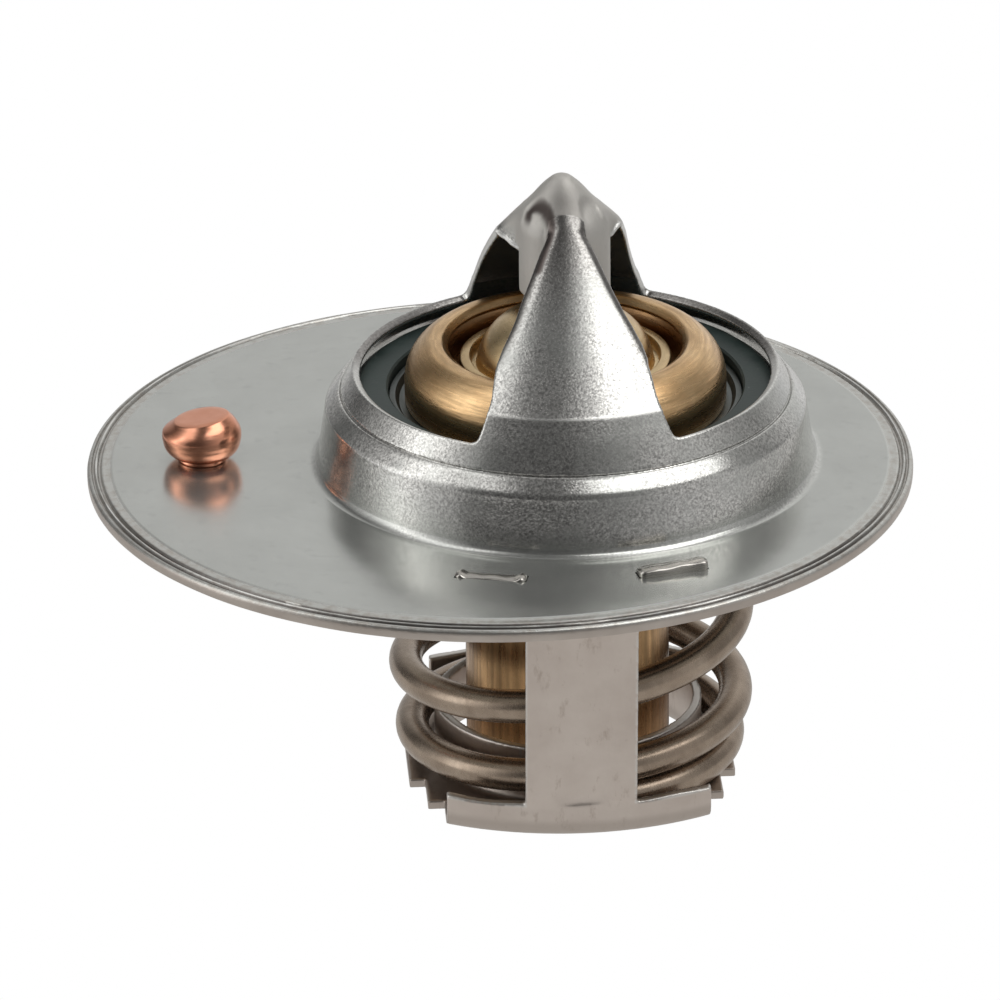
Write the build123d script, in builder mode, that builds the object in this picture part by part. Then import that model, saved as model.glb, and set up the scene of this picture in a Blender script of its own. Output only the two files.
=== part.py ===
"""Engine thermostat with an eccentric flange, a pointed hood and a sheet lower frame.

Frame: millimetres, +Z up along the valve axis. The origin is the centre of the
flange's rim, on the flange's top face. The valve axis stands valve_x to the +X
side of it, and -Y is the front.
"""
import math
import os

from build123d import *

# ---------------------------------------------------------------- dimensions
# flange
flange_r = 26.0             # Ø 52 over the rim
flange_t = 0.95
flange_groove_r = 24.45     # fine step inside the rim
flange_rim_drop = 0.08      # the rim ring lies this much lower
flange_chamfer = 0.35
valve_x = 4.15              # the valve axis is off the flange's centre

# collar, seat cone and hood (one drawn sheet, about 0.6 thick)
collar_base_r = 15.6
base_fillet = 0.65
shoulder_r, shoulder_z = 15.0, 3.8
groove_r, groove_z = 14.35, 4.75
rim_r, rim_z = 13.35, 6.2           # edge of the hood's opening, outer face
crease_r, crease_z = 12.28, 7.83    # the arms change slope here
cone_slope = 0.934                  # fall of the hood's cone for each mm of radius
cone_apex_z = 19.3                  # where the cone would come to a point
tip_ball = 0.5                      # radius of the blunt tip
hood_turn = 2.8                     # degrees about the valve axis
eave_r = 4.2                        # the cap's lower edge
socket_r, socket_bore_r = 2.85, 2.33
socket_z = 11.4                     # lower end of the piston's socket

# lower frame (one folded sheet)
sheet = 0.6
frame_turn = 3.8                    # degrees about the valve axis
frame_bottom_z = -20.8
leg_half_w = 3.5
leg_foot_y = 12.5                   # outer face of the leg where it leaves the lip
leg_head_y = 14.8                   # outer face of the leg under the flange
lip_top_z = -18.4
lip_half_w = 8.3
lip_plan_r = 18.2
bend_r = 1.2                        # outer radius of the bend at the lip
step_a = (10.35, 4.15)              # stepped corners of the bottom plate
step_b = (9.35, 7.4)
guide_collar_r, guide_collar_wall = 8.5, 0.55
guide_collar_z = -16.5
tab_x, tab_y = 5.55, 18.0
tab_w, tab_t = 4.3, 0.8
tab_head_z = 0.36
slot_gap = 0.1
foot_half_w = 8.1
foot_end_y = 18.4

# main spring
wire_r = 1.06
coil_r = 10.34
spring_bottom_z = frame_bottom_z + sheet
disc_under_z = 3.2

# valve disc and seal
disc_t = 0.8
disc_hole_r = 6.5
disc_r = 12.7
seal_in_r = 11.15
seal_r = 13.38
seal_top_z = 5.0

# wax element
barrel_r, barrel_wall = 6.45, 0.85
barrel_bottom_z = -19.6
head_r = 9.9
head_under_z = disc_under_z + disc_t
head_top_z = 8.3
head_mouth_r = 7.5
guide_r = 8.9
guide_under_z = 5.25
dome_top_z = 9.8
guide_bore_r = 2.3
piston_r = 2.25
piston_foot_z = -14.9
sleeve_r = 3.3
valve_travel = 8.0

# vent pin
pin_x = -18.75
pin_head_z = 3.1
pin_hole_r = 1.2
pin_stem_r = 0.85
pin_travel = 1.3

os.makedirs("parts", exist_ok=True)

VALVE = Axis((valve_x, 0, 0), (0, 0, 1))
SECTION = Plane(origin=(valve_x, 0, 0), x_dir=(1, 0, 0), z_dir=(0, -1, 0))


def turned(angle, z=0.0):
    """Horizontal plane on the valve axis, turned about it; its +Y is the rear."""
    a = math.radians(angle)
    return Plane(origin=(valve_x, 0, z), x_dir=(math.cos(a), math.sin(a), 0), z_dir=(0, 0, 1))


# ---------------------------------------------------------------- hood
# seat cone direction, from the rim up to the crease, and its inward normal
dr, dz = crease_r - rim_r, crease_z - rim_z
dl = math.hypot(dr, dz)
cone_d = (dr / dl, dz / dl)
cone_n = (-dz / dl, dr / dl)
hood_t = 0.6
rim_in = (rim_r + cone_n[0] * hood_t, rim_z + cone_n[1] * hood_t)
inner_apex_z = cone_apex_z - hood_t * math.hypot(1, cone_slope)
# inner crease: the seat cone's inner line meets the upper cone's inner line
k = (inner_apex_z - cone_slope * rim_in[0] - rim_in[1]) / (cone_d[1] + cone_slope * cone_d[0])
crease_in = (rim_in[0] + k * cone_d[0], rim_in[1] + k * cone_d[1])

with BuildPart() as hood:
    # the whole cone first, from the opening's rim to the blunt tip
    with BuildSketch(SECTION):
        with BuildLine():
            # its foot runs 0.5 down inside the seat cone's sheet, so that the two are one solid
            foot_out = (rim_r + cone_n[0] * 0.01 - cone_d[0] * 0.5, rim_z + cone_n[1] * 0.01 - cone_d[1] * 0.5)
            foot_in = (rim_r + cone_n[0] * 0.59 - cone_d[0] * 0.5, rim_z + cone_n[1] * 0.59 - cone_d[1] * 0.5)
            # the tip is a ball that touches the cone
            tip_centre = cone_apex_z - tip_ball * math.hypot(1, cone_slope)
            lay = math.atan(cone_slope)
            touch = (tip_ball * math.sin(lay), tip_centre + tip_ball * math.cos(lay))
            halfway = (tip_ball * math.sin(lay / 2), tip_centre + tip_ball * math.cos(lay / 2))
            apex_z = tip_centre + tip_ball
            Polyline(foot_in, foot_out, (crease_r, crease_z), touch)
            ThreePointArc(touch, halfway, (0, apex_z))
            Polyline((0, apex_z), (0, inner_apex_z), crease_in, foot_in)
        make_face()
    revolve(axis=VALVE)

    # side windows: they leave the narrow front arm, the wide rear arm and the cap's wings
    with BuildSketch(turned(hood_turn, 5.0)) as windows:
        with BuildLine():
            # edge of the front arm, from its neck to its foot
            arm = Spline((0.98, -2.75), (1.42, -3.4), (2.15, -4.6), (3.0, -6.0), (3.67, -7.4),
                         (4.7, -9.4), (5.35, -11.0), (6.35, -12.1))
            rim_start = (6.35, -12.1)
            rim_end = (6.1, 12.3)
            Line(rim_start, (7.2, -12.3))
            Polyline((7.2, -12.3), (14.5, -8.0), (14.5, 8.0), (7.0, 12.6), rim_end)
            rear = Spline(rim_end, (5.55, 11.4), (5.25, 10.0), (4.85, 7.0), (4.45, 4.5), (4.1, 1.8))
            eave = ThreePointArc((4.1, 1.8), (4.18, -0.6), (2.95, -3.0))
            pocket = Spline((2.95, -3.0), (2.3, -1.75), (1.65, -1.2), (1.02, -1.7), (0.98, -2.75))
        make_face()
        mirror(about=Plane.YZ)
    extrude(amount=16, mode=Mode.SUBTRACT)

    # the drawn socket that holds the piston's tip, closed by a dome under the cap
    with BuildSketch(SECTION):
        with BuildLine():
            Polyline((socket_bore_r, 16.25), (socket_bore_r, socket_z + 0.15), (socket_bore_r + 0.15, socket_z),
                     (socket_r - 0.12, socket_z), (socket_r, socket_z + 0.12), (socket_r, 15.6))
            ThreePointArc((socket_r, 15.6), (2.5, 16.75), (1.5, 17.55))
            Polyline((1.5, 17.55), (0, 18.0), (0, 17.6), (0.6, 17.6), (socket_bore_r, 16.25))
        make_face()
    revolve(axis=VALVE)

with BuildPart() as flange_housing:
    # flange plate, eccentric to the collar, with the fine step and bevel at its rim
    with BuildSketch(Plane.XZ):
        with BuildLine():
            Polyline((0, 0), (flange_groove_r - 0.12, 0), (flange_groove_r, -flange_rim_drop - 0.05),
                     (flange_groove_r + 0.12, -flange_rim_drop),
                     (flange_r - flange_chamfer, -flange_rim_drop),
                     (flange_r, -flange_rim_drop - 0.25), (flange_r, -flange_t + 0.06),
                     (flange_r - 0.06, -flange_t), (0, -flange_t), (0, 0))
        make_face()
    revolve(axis=Axis.Z)
    with BuildSketch(Plane(origin=(valve_x, 0, -flange_t - 1))):
        Circle(collar_base_r + base_fillet + 0.35)
    extrude(amount=flange_t + 2.0, mode=Mode.SUBTRACT)

    # collar: base fillet, wall, shoulder, groove and seat cone
    back = 1.62
    groove_in = (rim_in[0] - cone_d[0] * back, rim_in[1] - cone_d[1] * back)
    with BuildSketch(SECTION):
        with BuildLine():
            Line((collar_base_r + base_fillet + 0.35, 0), (collar_base_r + base_fillet, 0))
            ThreePointArc((collar_base_r + base_fillet, 0),
                          (collar_base_r + base_fillet * 0.293, base_fillet * 0.293),
                          (collar_base_r, base_fillet))
            Line((collar_base_r, base_fillet), (shoulder_r, shoulder_z))
            ThreePointArc((shoulder_r, shoulder_z), (shoulder_r - 0.17, shoulder_z + 0.55), (groove_r, groove_z))
            Polyline((groove_r, groove_z), (groove_r - 0.14, groove_z - 0.05), (groove_r - 0.23, groove_z + 0.13),
                     (rim_r, rim_z), rim_in, groove_in)
            ThreePointArc(groove_in, (14.1, 4.02), (shoulder_r - 0.62, shoulder_z - 0.35))
            Line((shoulder_r - 0.62, shoulder_z - 0.35), (14.95, -0.1))
            ThreePointArc((14.95, -0.1), (15.2, -0.7), (15.8, -flange_t))
            Polyline((15.8, -flange_t), (collar_base_r + base_fillet + 0.35, -flange_t),
                     (collar_base_r + base_fillet + 0.35, 0))
        make_face()
    revolve(axis=VALVE)
    add(hood.part)

    # slots for the lower frame's tabs
    with BuildSketch(turned(frame_turn, -flange_t - 0.5)):
        with Locations(*[(sx * tab_x, sy * tab_y) for sx in (-1, 1) for sy in (-1, 1)]):
            Rectangle(tab_w + 2 * slot_gap, tab_t + 2 * slot_gap)
    extrude(amount=flange_t + 1.0, mode=Mode.SUBTRACT)
    # hole for the vent pin
    with BuildSketch(Plane(origin=(pin_x, 0, -flange_t - 0.5))):
        Circle(pin_hole_r)
    extrude(amount=flange_t + 1.0, mode=Mode.SUBTRACT)

# ---------------------------------------------------------------- lower frame
lean = (leg_head_y - leg_foot_y) / (-flange_t - sheet - lip_top_z)


def leg_y(z):
    """Outer face of a leg at height z, measured out from the valve axis."""
    return leg_foot_y + lean * (z - lip_top_z)


with BuildPart() as lower_frame:
    # bottom plate with stepped corners
    with BuildSketch(turned(frame_turn, frame_bottom_z)):
        with BuildLine():
            quarter = [(step_a[0], 0), step_a, (step_b[0], step_a[1]), step_b, (lip_half_w, step_b[1]),
                       (lip_half_w, 8.6), (0, 8.6)]
            Polyline(*quarter)
            mirror(about=Plane.YZ)
            mirror(about=Plane.XZ)
            Polyline(*[(-x, -y) for x, y in quarter])
        make_face()
    extrude(amount=sheet)

    # plate ends turned up into the lips, on a wide arc in plan
    for side in (-1, 1):
        a = math.radians(frame_turn)
        cy = side * (leg_foot_y - lip_plan_r)       # centre of the plan arc, in the turned frame
        ox, oy = valve_x - math.sin(a) * cy, math.cos(a) * cy
        out = (-math.sin(a) * side, math.cos(a) * side, 0)
        across = (math.cos(a), math.sin(a), 0)
        plane = Plane(origin=(ox, oy, 0), x_dir=out,
                      z_dir=tuple(side * c for c in across))
        r1 = lip_plan_r
        zb, zt = frame_bottom_z, lip_top_z
        with BuildPart(mode=Mode.PRIVATE) as lip:
            with BuildSketch(plane):
                with BuildLine():
                    s = 1
                    Line((r1 - 6.5, zb), (r1 - bend_r, zb))
                    ThreePointArc((r1 - bend_r, zb), (r1 - bend_r * 0.293, zb + bend_r * 0.293), (r1, zb + bend_r))
                    Polyline((r1, zb + bend_r), (r1, zt), (r1 - sheet, zt), (r1 - sheet, zb + bend_r))
                    ri = bend_r - sheet
                    ThreePointArc((r1 - sheet, zb + bend_r), (r1 - sheet - ri * 0.293, zb + sheet + ri * 0.293),
                                  (r1 - bend_r, zb + sheet))
                    Polyline((r1 - bend_r, zb + sheet), (r1 - 6.5, zb + sheet), (r1 - 6.5, zb))
                make_face()
            revolve(axis=Axis((ox, oy, 0), (0, 0, 1)), revolution_arc=70)
        piece = lip.part.rotate(Axis((ox, oy, 0), (0, 0, 1)), -35)
        with BuildPart(mode=Mode.PRIVATE) as keep:
            with BuildSketch(turned(frame_turn, zb - 1)):
                with Locations((0, side * 11.0)):
                    Rectangle(2 * lip_half_w, 7.0)
            extrude(amount=6)
        add(piece & keep.part)

    # legs, leaning out to the flange, each with a flat foot under it
    for side in (-1, 1):
        a = math.radians(frame_turn)
        leg_plane = Plane(origin=(valve_x, 0, 0),
                          x_dir=(-math.sin(a) * side, math.cos(a) * side, 0),
                          z_dir=(math.cos(a) * side, math.sin(a) * side, 0))
        top = -flange_t
        y_low, y_top = leg_y(lip_top_z - 0.6), leg_y(top - sheet)
        with BuildSketch(leg_plane):
            with BuildLine():
                Polyline((y_low - sheet, lip_top_z - 0.6), (y_low, lip_top_z - 0.6), (y_top - 0.06, top - sheet - 0.5))
                ThreePointArc((y_top - 0.06, top - sheet - 0.5), (y_top + 0.1, top - sheet - 0.14),
                              (y_top + 0.45, top - sheet))
                Polyline((y_top + 0.45, top - sheet), (foot_end_y, top - sheet), (foot_end_y, top), (y_top + 0.45, top))
                ThreePointArc((y_top + 0.45, top), (y_top - 0.33, top - 0.29), (y_top - sheet - 0.06, top - sheet - 0.5))
                Line((y_top - sheet - 0.06, top - sheet - 0.5), (y_low - sheet, lip_top_z - 0.6))
            make_face()
        extrude(amount=leg_half_w, both=True)
        # foot: widens beyond the collar to carry two tabs
        with BuildSketch(turned(frame_turn, top - sheet)):
            with BuildLine():
                Polyline((-leg_half_w, side * 15.3), (-foot_half_w, side * 16.7), (-foot_half_w, side * foot_end_y),
                         (foot_half_w, side * foot_end_y), (foot_half_w, side * 16.7), (leg_half_w, side * 15.3),
                         (-leg_half_w, side * 15.3))
            make_face()
        extrude(amount=sheet)
        # tabs through the flange's slots, upset over its top face
        with BuildSketch(turned(frame_turn, top - sheet)):
            with Locations((-tab_x, side * tab_y), (tab_x, side * tab_y)):
                Rectangle(tab_w, tab_t)
        extrude(amount=sheet + flange_t)
        with BuildSketch(turned(frame_turn, 0)):
            with Locations((-tab_x, side * tab_y), (tab_x, side * tab_y)):
                SlotOverall(tab_w + 0.3, tab_t + 0.3)
        extrude(amount=tab_head_z, taper=12)

    # drawn collar round the central hole, which centres the spring
    with BuildSketch(SECTION):
        with BuildLine():
            ro, ri = guide_collar_r, guide_collar_r - guide_collar_wall
            zb, zp = frame_bottom_z, frame_bottom_z + sheet
            Polyline((ro + 0.9, zb), (ro + 0.9, zp), (ro + 0.5, zp))
            ThreePointArc((ro + 0.5, zp), (ro + 0.15, zp + 0.15), (ro, zp + 0.5))
            Polyline((ro, zp + 0.5), (ro, guide_collar_z), (ri, guide_collar_z), (ri, zb + 0.9))
            ThreePointArc((ri, zb + 0.9), (ri + 0.26, zb + 0.26), (ri + 0.9, zb))
            Line((ri + 0.9, zb), (ro + 0.9, zb))
        make_face()
    with BuildSketch(Plane(origin=(valve_x, 0, frame_bottom_z - 0.5)), mode=Mode.PRIVATE) as opening:
        Circle(guide_collar_r + 0.6)
    extrude(opening.sketch, amount=sheet + 1.0, mode=Mode.SUBTRACT)
    with BuildSketch(SECTION):
        with BuildLine():
            Polyline((ro + 0.9, zb), (ro + 0.9, zp), (ro + 0.5, zp))
            ThreePointArc((ro + 0.5, zp), (ro + 0.15, zp + 0.15), (ro, zp + 0.5))
            Polyline((ro, zp + 0.5), (ro, guide_collar_z), (ri, guide_collar_z), (ri, zb + 0.9))
            ThreePointArc((ri, zb + 0.9), (ri + 0.26, zb + 0.26), (ri + 0.9, zb))
            Line((ri + 0.9, zb), (ro + 0.9, zb))
        make_face()
    revolve(axis=VALVE)

# ---------------------------------------------------------------- main spring
# height of the wire's centre at each turning angle: a closed coil at each end, and an
# uneven pitch between them
spring_knots = [(-435, -19.14), (-400, -19.08), (-330, -18.95), (-260, -18.74), (-180, -18.38), (-130, -17.95),
                (-75, -16.99), (-40, -16.6), (44, -15.7), (140, -14.5), (230, -13.2), (300, -11.4), (360, -10.05),
                (450, -8.45), (540, -6.6), (630, -4.75), (720, -2.9), (800, -1.5), (870, -0.45), (900, -0.02),
                (930, 0.35), (1000, 1.05), (1080, 1.6), (1170, 2.0), (1260, 2.14)]


def wire_height(t):
    """Monotone curve through the knots."""
    n = len(spring_knots)
    i = 0
    while i < n - 2 and t > spring_knots[i + 1][0]:
        i += 1

    def slope(j):
        if j in (0, n - 1):
            j0, j1 = (0, 1) if j == 0 else (n - 2, n - 1)
            return (spring_knots[j1][1] - spring_knots[j0][1]) / (spring_knots[j1][0] - spring_knots[j0][0])
        lo = (spring_knots[j][1] - spring_knots[j - 1][1]) / (spring_knots[j][0] - spring_knots[j - 1][0])
        hi = (spring_knots[j + 1][1] - spring_knots[j][1]) / (spring_knots[j + 1][0] - spring_knots[j][0])
        return 2 * lo * hi / (lo + hi)

    h = spring_knots[i + 1][0] - spring_knots[i][0]
    u = (t - spring_knots[i][0]) / h
    return ((2 * u**3 - 3 * u**2 + 1) * spring_knots[i][1] + (u**3 - 2 * u**2 + u) * h * slope(i)
            + (-2 * u**3 + 3 * u**2) * spring_knots[i + 1][1] + (u**3 - u**2) * h * slope(i + 1))


def ease(x, a, b):
    """0 below a, 1 above b, smooth between them."""
    u = min(1.0, max(0.0, (x - a) / (b - a)))
    return u * u * (3 - 2 * u)


# the coils are a little wider in the middle, and all but the top ones stand slightly to +X
coil_points = []
for i in range(99):
    t = spring_knots[0][0] + (spring_knots[-1][0] - spring_knots[0][0]) * i / 98
    z = wire_height(t)
    r = coil_r + 0.38 * ease(z, -18.3, -14.5) - 0.33 * ease(z, -6.0, 0.0)
    shift = 0.3 * (1 - ease(z, -6.0, 1.5))
    coil_points.append((valve_x + shift + r * math.cos(math.radians(t)), r * math.sin(math.radians(t)), z))
with BuildPart() as main_spring:
    with BuildLine() as coil:
        Spline(*coil_points)
    with BuildSketch(Plane(origin=coil.line @ 0, z_dir=coil.line % 0)):
        Circle(wire_r)
    sweep(path=coil.line, is_frenet=True)

# ---------------------------------------------------------------- valve disc and seal
with BuildPart() as valve_disc:
    with BuildSketch(SECTION):
        with BuildLine():
            z0, z1 = disc_under_z, disc_under_z + disc_t
            Polyline((disc_hole_r, z1), (10.45, z1), (10.7, z1 + 0.35), (11.05, z1 + 0.35), (11.15, z1 + 0.05),
                     (disc_r, z1 + 0.05), (disc_r, z0), (7.6, z0))
            ThreePointArc((7.6, z0), (7.26, z0 - 0.16), (7.1, z0 - 0.5))
            Polyline((7.1, z0 - 0.5), (7.1, 1.2), (disc_hole_r, 1.2), (disc_hole_r, z1))
        make_face()
    revolve(axis=VALVE)

with BuildPart() as valve_seal:
    with BuildSketch(SECTION):
        with BuildLine():
            Polyline((seal_in_r, z1 + 0.05), (seal_in_r, seal_top_z - 0.12), (seal_in_r + 0.12, seal_top_z),
                     (12.95, seal_top_z), (seal_r, seal_top_z - 0.32), (seal_r, 3.25), (seal_r - 0.25, 2.9),
                     (11.9, 2.9), (11.75, z0), (disc_r, z0), (disc_r, z1 + 0.05), (seal_in_r, z1 + 0.05))
        make_face()
    revolve(axis=VALVE)

# ---------------------------------------------------------------- wax element
with BuildPart() as wax_cup:
    with BuildSketch(SECTION):
        with BuildLine():
            zb, zf = barrel_bottom_z, 4.85
            ri = barrel_r - barrel_wall
            Line((0, zb), (barrel_r - 0.75, zb))
            ThreePointArc((barrel_r - 0.75, zb), (barrel_r - 0.22, zb + 0.22), (barrel_r, zb + 0.75))
            Polyline((barrel_r, zb + 0.75), (barrel_r, head_under_z), (head_r - 0.25, head_under_z),
                     (head_r, head_under_z + 0.25), (head_r, 5.6))
            ThreePointArc((head_r, 5.6), (9.28, 7.55), (8.0, head_top_z))
            Line((8.0, head_top_z), (head_mouth_r + 0.15, head_top_z))
            ThreePointArc((head_mouth_r + 0.15, head_top_z), (head_mouth_r + 0.04, head_top_z - 0.04),
                          (head_mouth_r, head_top_z - 0.15))
            Polyline((head_mouth_r, head_top_z - 0.15), (head_mouth_r, 7.4), (8.4, 7.4), (8.95, 6.7), (8.95, zf),
                     (ri, zf), (ri, zb + 1.0), (0, zb + 1.0), (0, zb))
        make_face()
    revolve(axis=VALVE)

with BuildPart() as guide:
    with BuildSketch(SECTION):
        with BuildLine():
            Polyline((guide_bore_r, 5.95), (guide_bore_r, dome_top_z - 0.15), (guide_bore_r + 0.15, dome_top_z),
                     (2.8, dome_top_z))
            ThreePointArc((2.8, dome_top_z), (4.55, 8.75), (5.5, 6.95))
            Polyline((5.5, 6.95), (5.55, 6.3), (6.1, 6.2), (6.15, 6.7), (6.5, 6.7), (6.6, 5.95), (7.35, 5.95),
                     (7.55, 7.38), (8.4, 7.38), (guide_r, 6.72), (guide_r, guide_under_z), (4.2, guide_under_z),
                     (4.2, 5.95), (guide_bore_r, 5.95))
        make_face()
    revolve(axis=VALVE)

with BuildPart() as back_up_ring:
    with BuildSketch(SECTION):
        with BuildLine():
            Polyline((guide_bore_r, guide_under_z), (4.18, guide_under_z), (4.18, 5.95), (guide_bore_r, 5.95),
                     (guide_bore_r, guide_under_z))
        make_face()
    revolve(axis=VALVE)

with BuildPart() as rubber_sleeve:
    with BuildSketch(SECTION):
        with BuildLine():
            Polyline((guide_bore_r, guide_under_z), (guide_r, guide_under_z), (guide_r, 4.85), (sleeve_r, 4.85),
                     (sleeve_r, piston_foot_z - 0.6), (1.6, piston_foot_z - 2.0), (0, piston_foot_z - 2.0),
                     (0, piston_foot_z - 0.9), (1.0, piston_foot_z - 0.9), (guide_bore_r, piston_foot_z + 1.0),
                     (guide_bore_r, guide_under_z))
        make_face()
    revolve(axis=VALVE)

with BuildPart() as wax_charge:
    with BuildSketch(SECTION):
        with BuildLine():
            ri = barrel_r - barrel_wall
            zf = 4.85
            Polyline((sleeve_r, zf), (ri, zf), (ri, barrel_bottom_z + 1.0), (0, barrel_bottom_z + 1.0),
                     (0, piston_foot_z - 2.0), (1.6, piston_foot_z - 2.0), (sleeve_r, piston_foot_z - 0.6),
                     (sleeve_r, zf))
        make_face()
    revolve(axis=VALVE)

with BuildPart() as piston:
    with BuildSketch(SECTION):
        with BuildLine():
            Polyline((0, piston_foot_z - 0.7), (0.9, piston_foot_z - 0.7), (piston_r, piston_foot_z + 1.1),
                     (piston_r, 16.3), (0.58, 17.6), (0, 17.6), (0, piston_foot_z - 0.7))
        make_face()
    revolve(axis=VALVE)

# ---------------------------------------------------------------- vent pin
with BuildPart() as jiggle_pin:
    with BuildSketch(Plane(origin=(pin_x, 0, 0), x_dir=(1, 0, 0), z_dir=(0, -1, 0))):
        with BuildLine():
            Polyline((0, -3.75), (1.35, -3.75), (1.8, -3.35), (1.8, -2.65), (1.35, -flange_t - pin_travel),
                     (pin_stem_r, -flange_t - pin_travel), (pin_stem_r, 0), (1.45, 0))
            ThreePointArc((1.45, 0), (2.1, 0.42), (2.475, 1.15))
            Line((2.475, 1.15), (2.475, 1.65))
            ThreePointArc((2.475, 1.65), (2.25, 2.45), (1.8, pin_head_z))
            Polyline((1.8, pin_head_z), (0, pin_head_z), (0, -3.75))
        make_face()
    revolve(axis=Axis((pin_x, 0, 0), (0, 0, 1)))

# ---------------------------------------------------------------- output
pieces = {
    "flange_housing": flange_housing, "lower_frame": lower_frame, "main_spring": main_spring,
    "valve_disc": valve_disc, "valve_seal": valve_seal, "wax_cup": wax_cup, "guide": guide,
    "back_up_ring": back_up_ring, "rubber_sleeve": rubber_sleeve, "wax_charge": wax_charge,
    "piston": piston, "jiggle_pin": jiggle_pin,
}
for name, piece in pieces.items():
    piece.part.label = name
    export_step(piece.part, f"parts/{name}.step")
    box = piece.part.bounding_box()
    print(name, piece.part.is_valid, len(piece.part.solids()), round(piece.part.volume, 1), box.min, box.max)
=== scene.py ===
"""Engine thermostat: surfaces, finishes, floor, light and camera.

Shapes are worked out in millimetres from the valve axis and written in metres.
"""
import math

import bmesh
import bpy
import numpy as np
from mathutils import Matrix, Quaternion, Vector


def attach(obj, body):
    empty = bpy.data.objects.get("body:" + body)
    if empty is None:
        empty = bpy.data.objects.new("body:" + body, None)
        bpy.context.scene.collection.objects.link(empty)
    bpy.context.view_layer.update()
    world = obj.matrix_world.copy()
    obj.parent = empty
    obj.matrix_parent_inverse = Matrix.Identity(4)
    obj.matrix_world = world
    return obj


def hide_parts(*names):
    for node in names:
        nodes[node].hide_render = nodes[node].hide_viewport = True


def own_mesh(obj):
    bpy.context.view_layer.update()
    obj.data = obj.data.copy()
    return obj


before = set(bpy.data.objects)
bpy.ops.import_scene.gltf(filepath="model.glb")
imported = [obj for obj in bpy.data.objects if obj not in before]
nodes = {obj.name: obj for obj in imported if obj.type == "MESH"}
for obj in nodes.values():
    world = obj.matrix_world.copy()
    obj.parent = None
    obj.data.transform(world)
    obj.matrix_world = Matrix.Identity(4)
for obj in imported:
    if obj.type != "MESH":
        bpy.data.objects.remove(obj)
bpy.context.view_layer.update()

MM = 0.001
AXIS_X = 4.15                 # the valve axis, off the flange's centre
HOOD_TURN = math.radians(2.8)
FRAME_TURN = math.radians(3.8)
TAB_SHIFT = 0.28              # the tabs are turned a little less than the legs
TAB_TURN = math.radians(14)   # each tab lies nearly along a circle about the valve axis


# ====================================================================== mesh tools
def new_object(name, verts, faces, turn=0.0, shift=(AXIS_X, 0.0, 0.0), attrs=None, smooth=40.0):
    """A mesh object from millimetre points, turned about the valve axis and moved on to it."""
    v = np.asarray(verts, float)
    c, s = math.cos(turn), math.sin(turn)
    out = np.empty_like(v)
    out[:, 0] = c * v[:, 0] - s * v[:, 1] + shift[0]
    out[:, 1] = s * v[:, 0] + c * v[:, 1] + shift[1]
    out[:, 2] = v[:, 2] + shift[2]
    out *= MM
    me = bpy.data.meshes.new(name)
    faces = np.asarray(faces, np.int32)
    me.vertices.add(len(out))
    me.vertices.foreach_set("co", out.astype(np.float32).ravel())
    k = faces.shape[1]
    me.loops.add(faces.size)
    me.loops.foreach_set("vertex_index", faces.ravel())
    me.polygons.add(len(faces))
    me.polygons.foreach_set("loop_start", np.arange(0, faces.size, k, dtype=np.int32))
    me.update(calc_edges=True)
    me.validate()
    for key, val in (attrs or {}).items():
        set_attr(me, key, val)
    me.shade_smooth()
    if smooth < 180:
        me.set_sharp_from_angle(angle=math.radians(smooth))
    ob = bpy.data.objects.new(name, me)
    bpy.context.scene.collection.objects.link(ob)
    return ob


def set_attr(me, name, values):
    a = me.attributes.get(name) or me.attributes.new(name, "FLOAT", "POINT")
    a.data.foreach_set("value", np.asarray(values, np.float32))


def coords(me):
    co = np.empty(len(me.vertices) * 3, np.float32)
    me.vertices.foreach_get("co", co)
    return co.reshape(-1, 3).astype(float) / MM


def smin(a, b, k):
    h = np.clip(0.5 + 0.5 * (b - a) / k, 0, 1)
    return b + (a - b) * h - k * h * (1 - h)


def smax(a, b, k):
    return -smin(-a, -b, k)


def step(x, a, b):
    t = np.clip((x - a) / (b - a), 0, 1)
    return t * t * (3 - 2 * t)


def wobble(x, seed, octaves=4, base=1.0):
    """Smooth unevenness along one or more coordinates, about -1 to 1."""
    rng = np.random.default_rng(seed)
    out = 0.0
    amp = 1.0
    f = base
    xs = x if isinstance(x, tuple) else (x,)
    for _ in range(octaves):
        ph = rng.uniform(0, 6.283, 4)
        w = rng.uniform(0.6, 1.4, (4, len(xs)))
        for q in range(4):
            arg = ph[q]
            for j, c in enumerate(xs):
                arg = arg + c * f * w[q, j] * (1 if (q + j) % 2 else -1)
            out = out + amp * 0.4 * np.sin(arg)
        amp *= 0.55
        f *= 2.1
    return out


def spline(points, n=16):
    """Natural cubic curve through the points, n samples for each span."""
    p = np.asarray(points, float)
    t = np.concatenate([[0], np.cumsum(np.hypot(*(p[1:] - p[:-1]).T))])
    m = len(t)
    a = np.zeros((m, m))
    b = np.zeros((m, 2))
    a[0, 0] = a[-1, -1] = 1
    for i in range(1, m - 1):
        h0, h1 = t[i] - t[i - 1], t[i + 1] - t[i]
        a[i, i - 1], a[i, i], a[i, i + 1] = h0, 2 * (h0 + h1), h1
        b[i] = 6 * ((p[i + 1] - p[i]) / h1 - (p[i] - p[i - 1]) / h0)
    c = np.linalg.solve(a, b)
    out = []
    for i in range(m - 1):
        h = t[i + 1] - t[i]
        for j in range(n):
            u = j / n * h
            out.append(p[i] + u * ((p[i + 1] - p[i]) / h - h * (2 * c[i] + c[i + 1]) / 6)
                       + u * u * c[i] / 2 + u**3 * (c[i + 1] - c[i]) / (6 * h))
    out.append(p[-1])
    return [tuple(q) for q in out]


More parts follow.
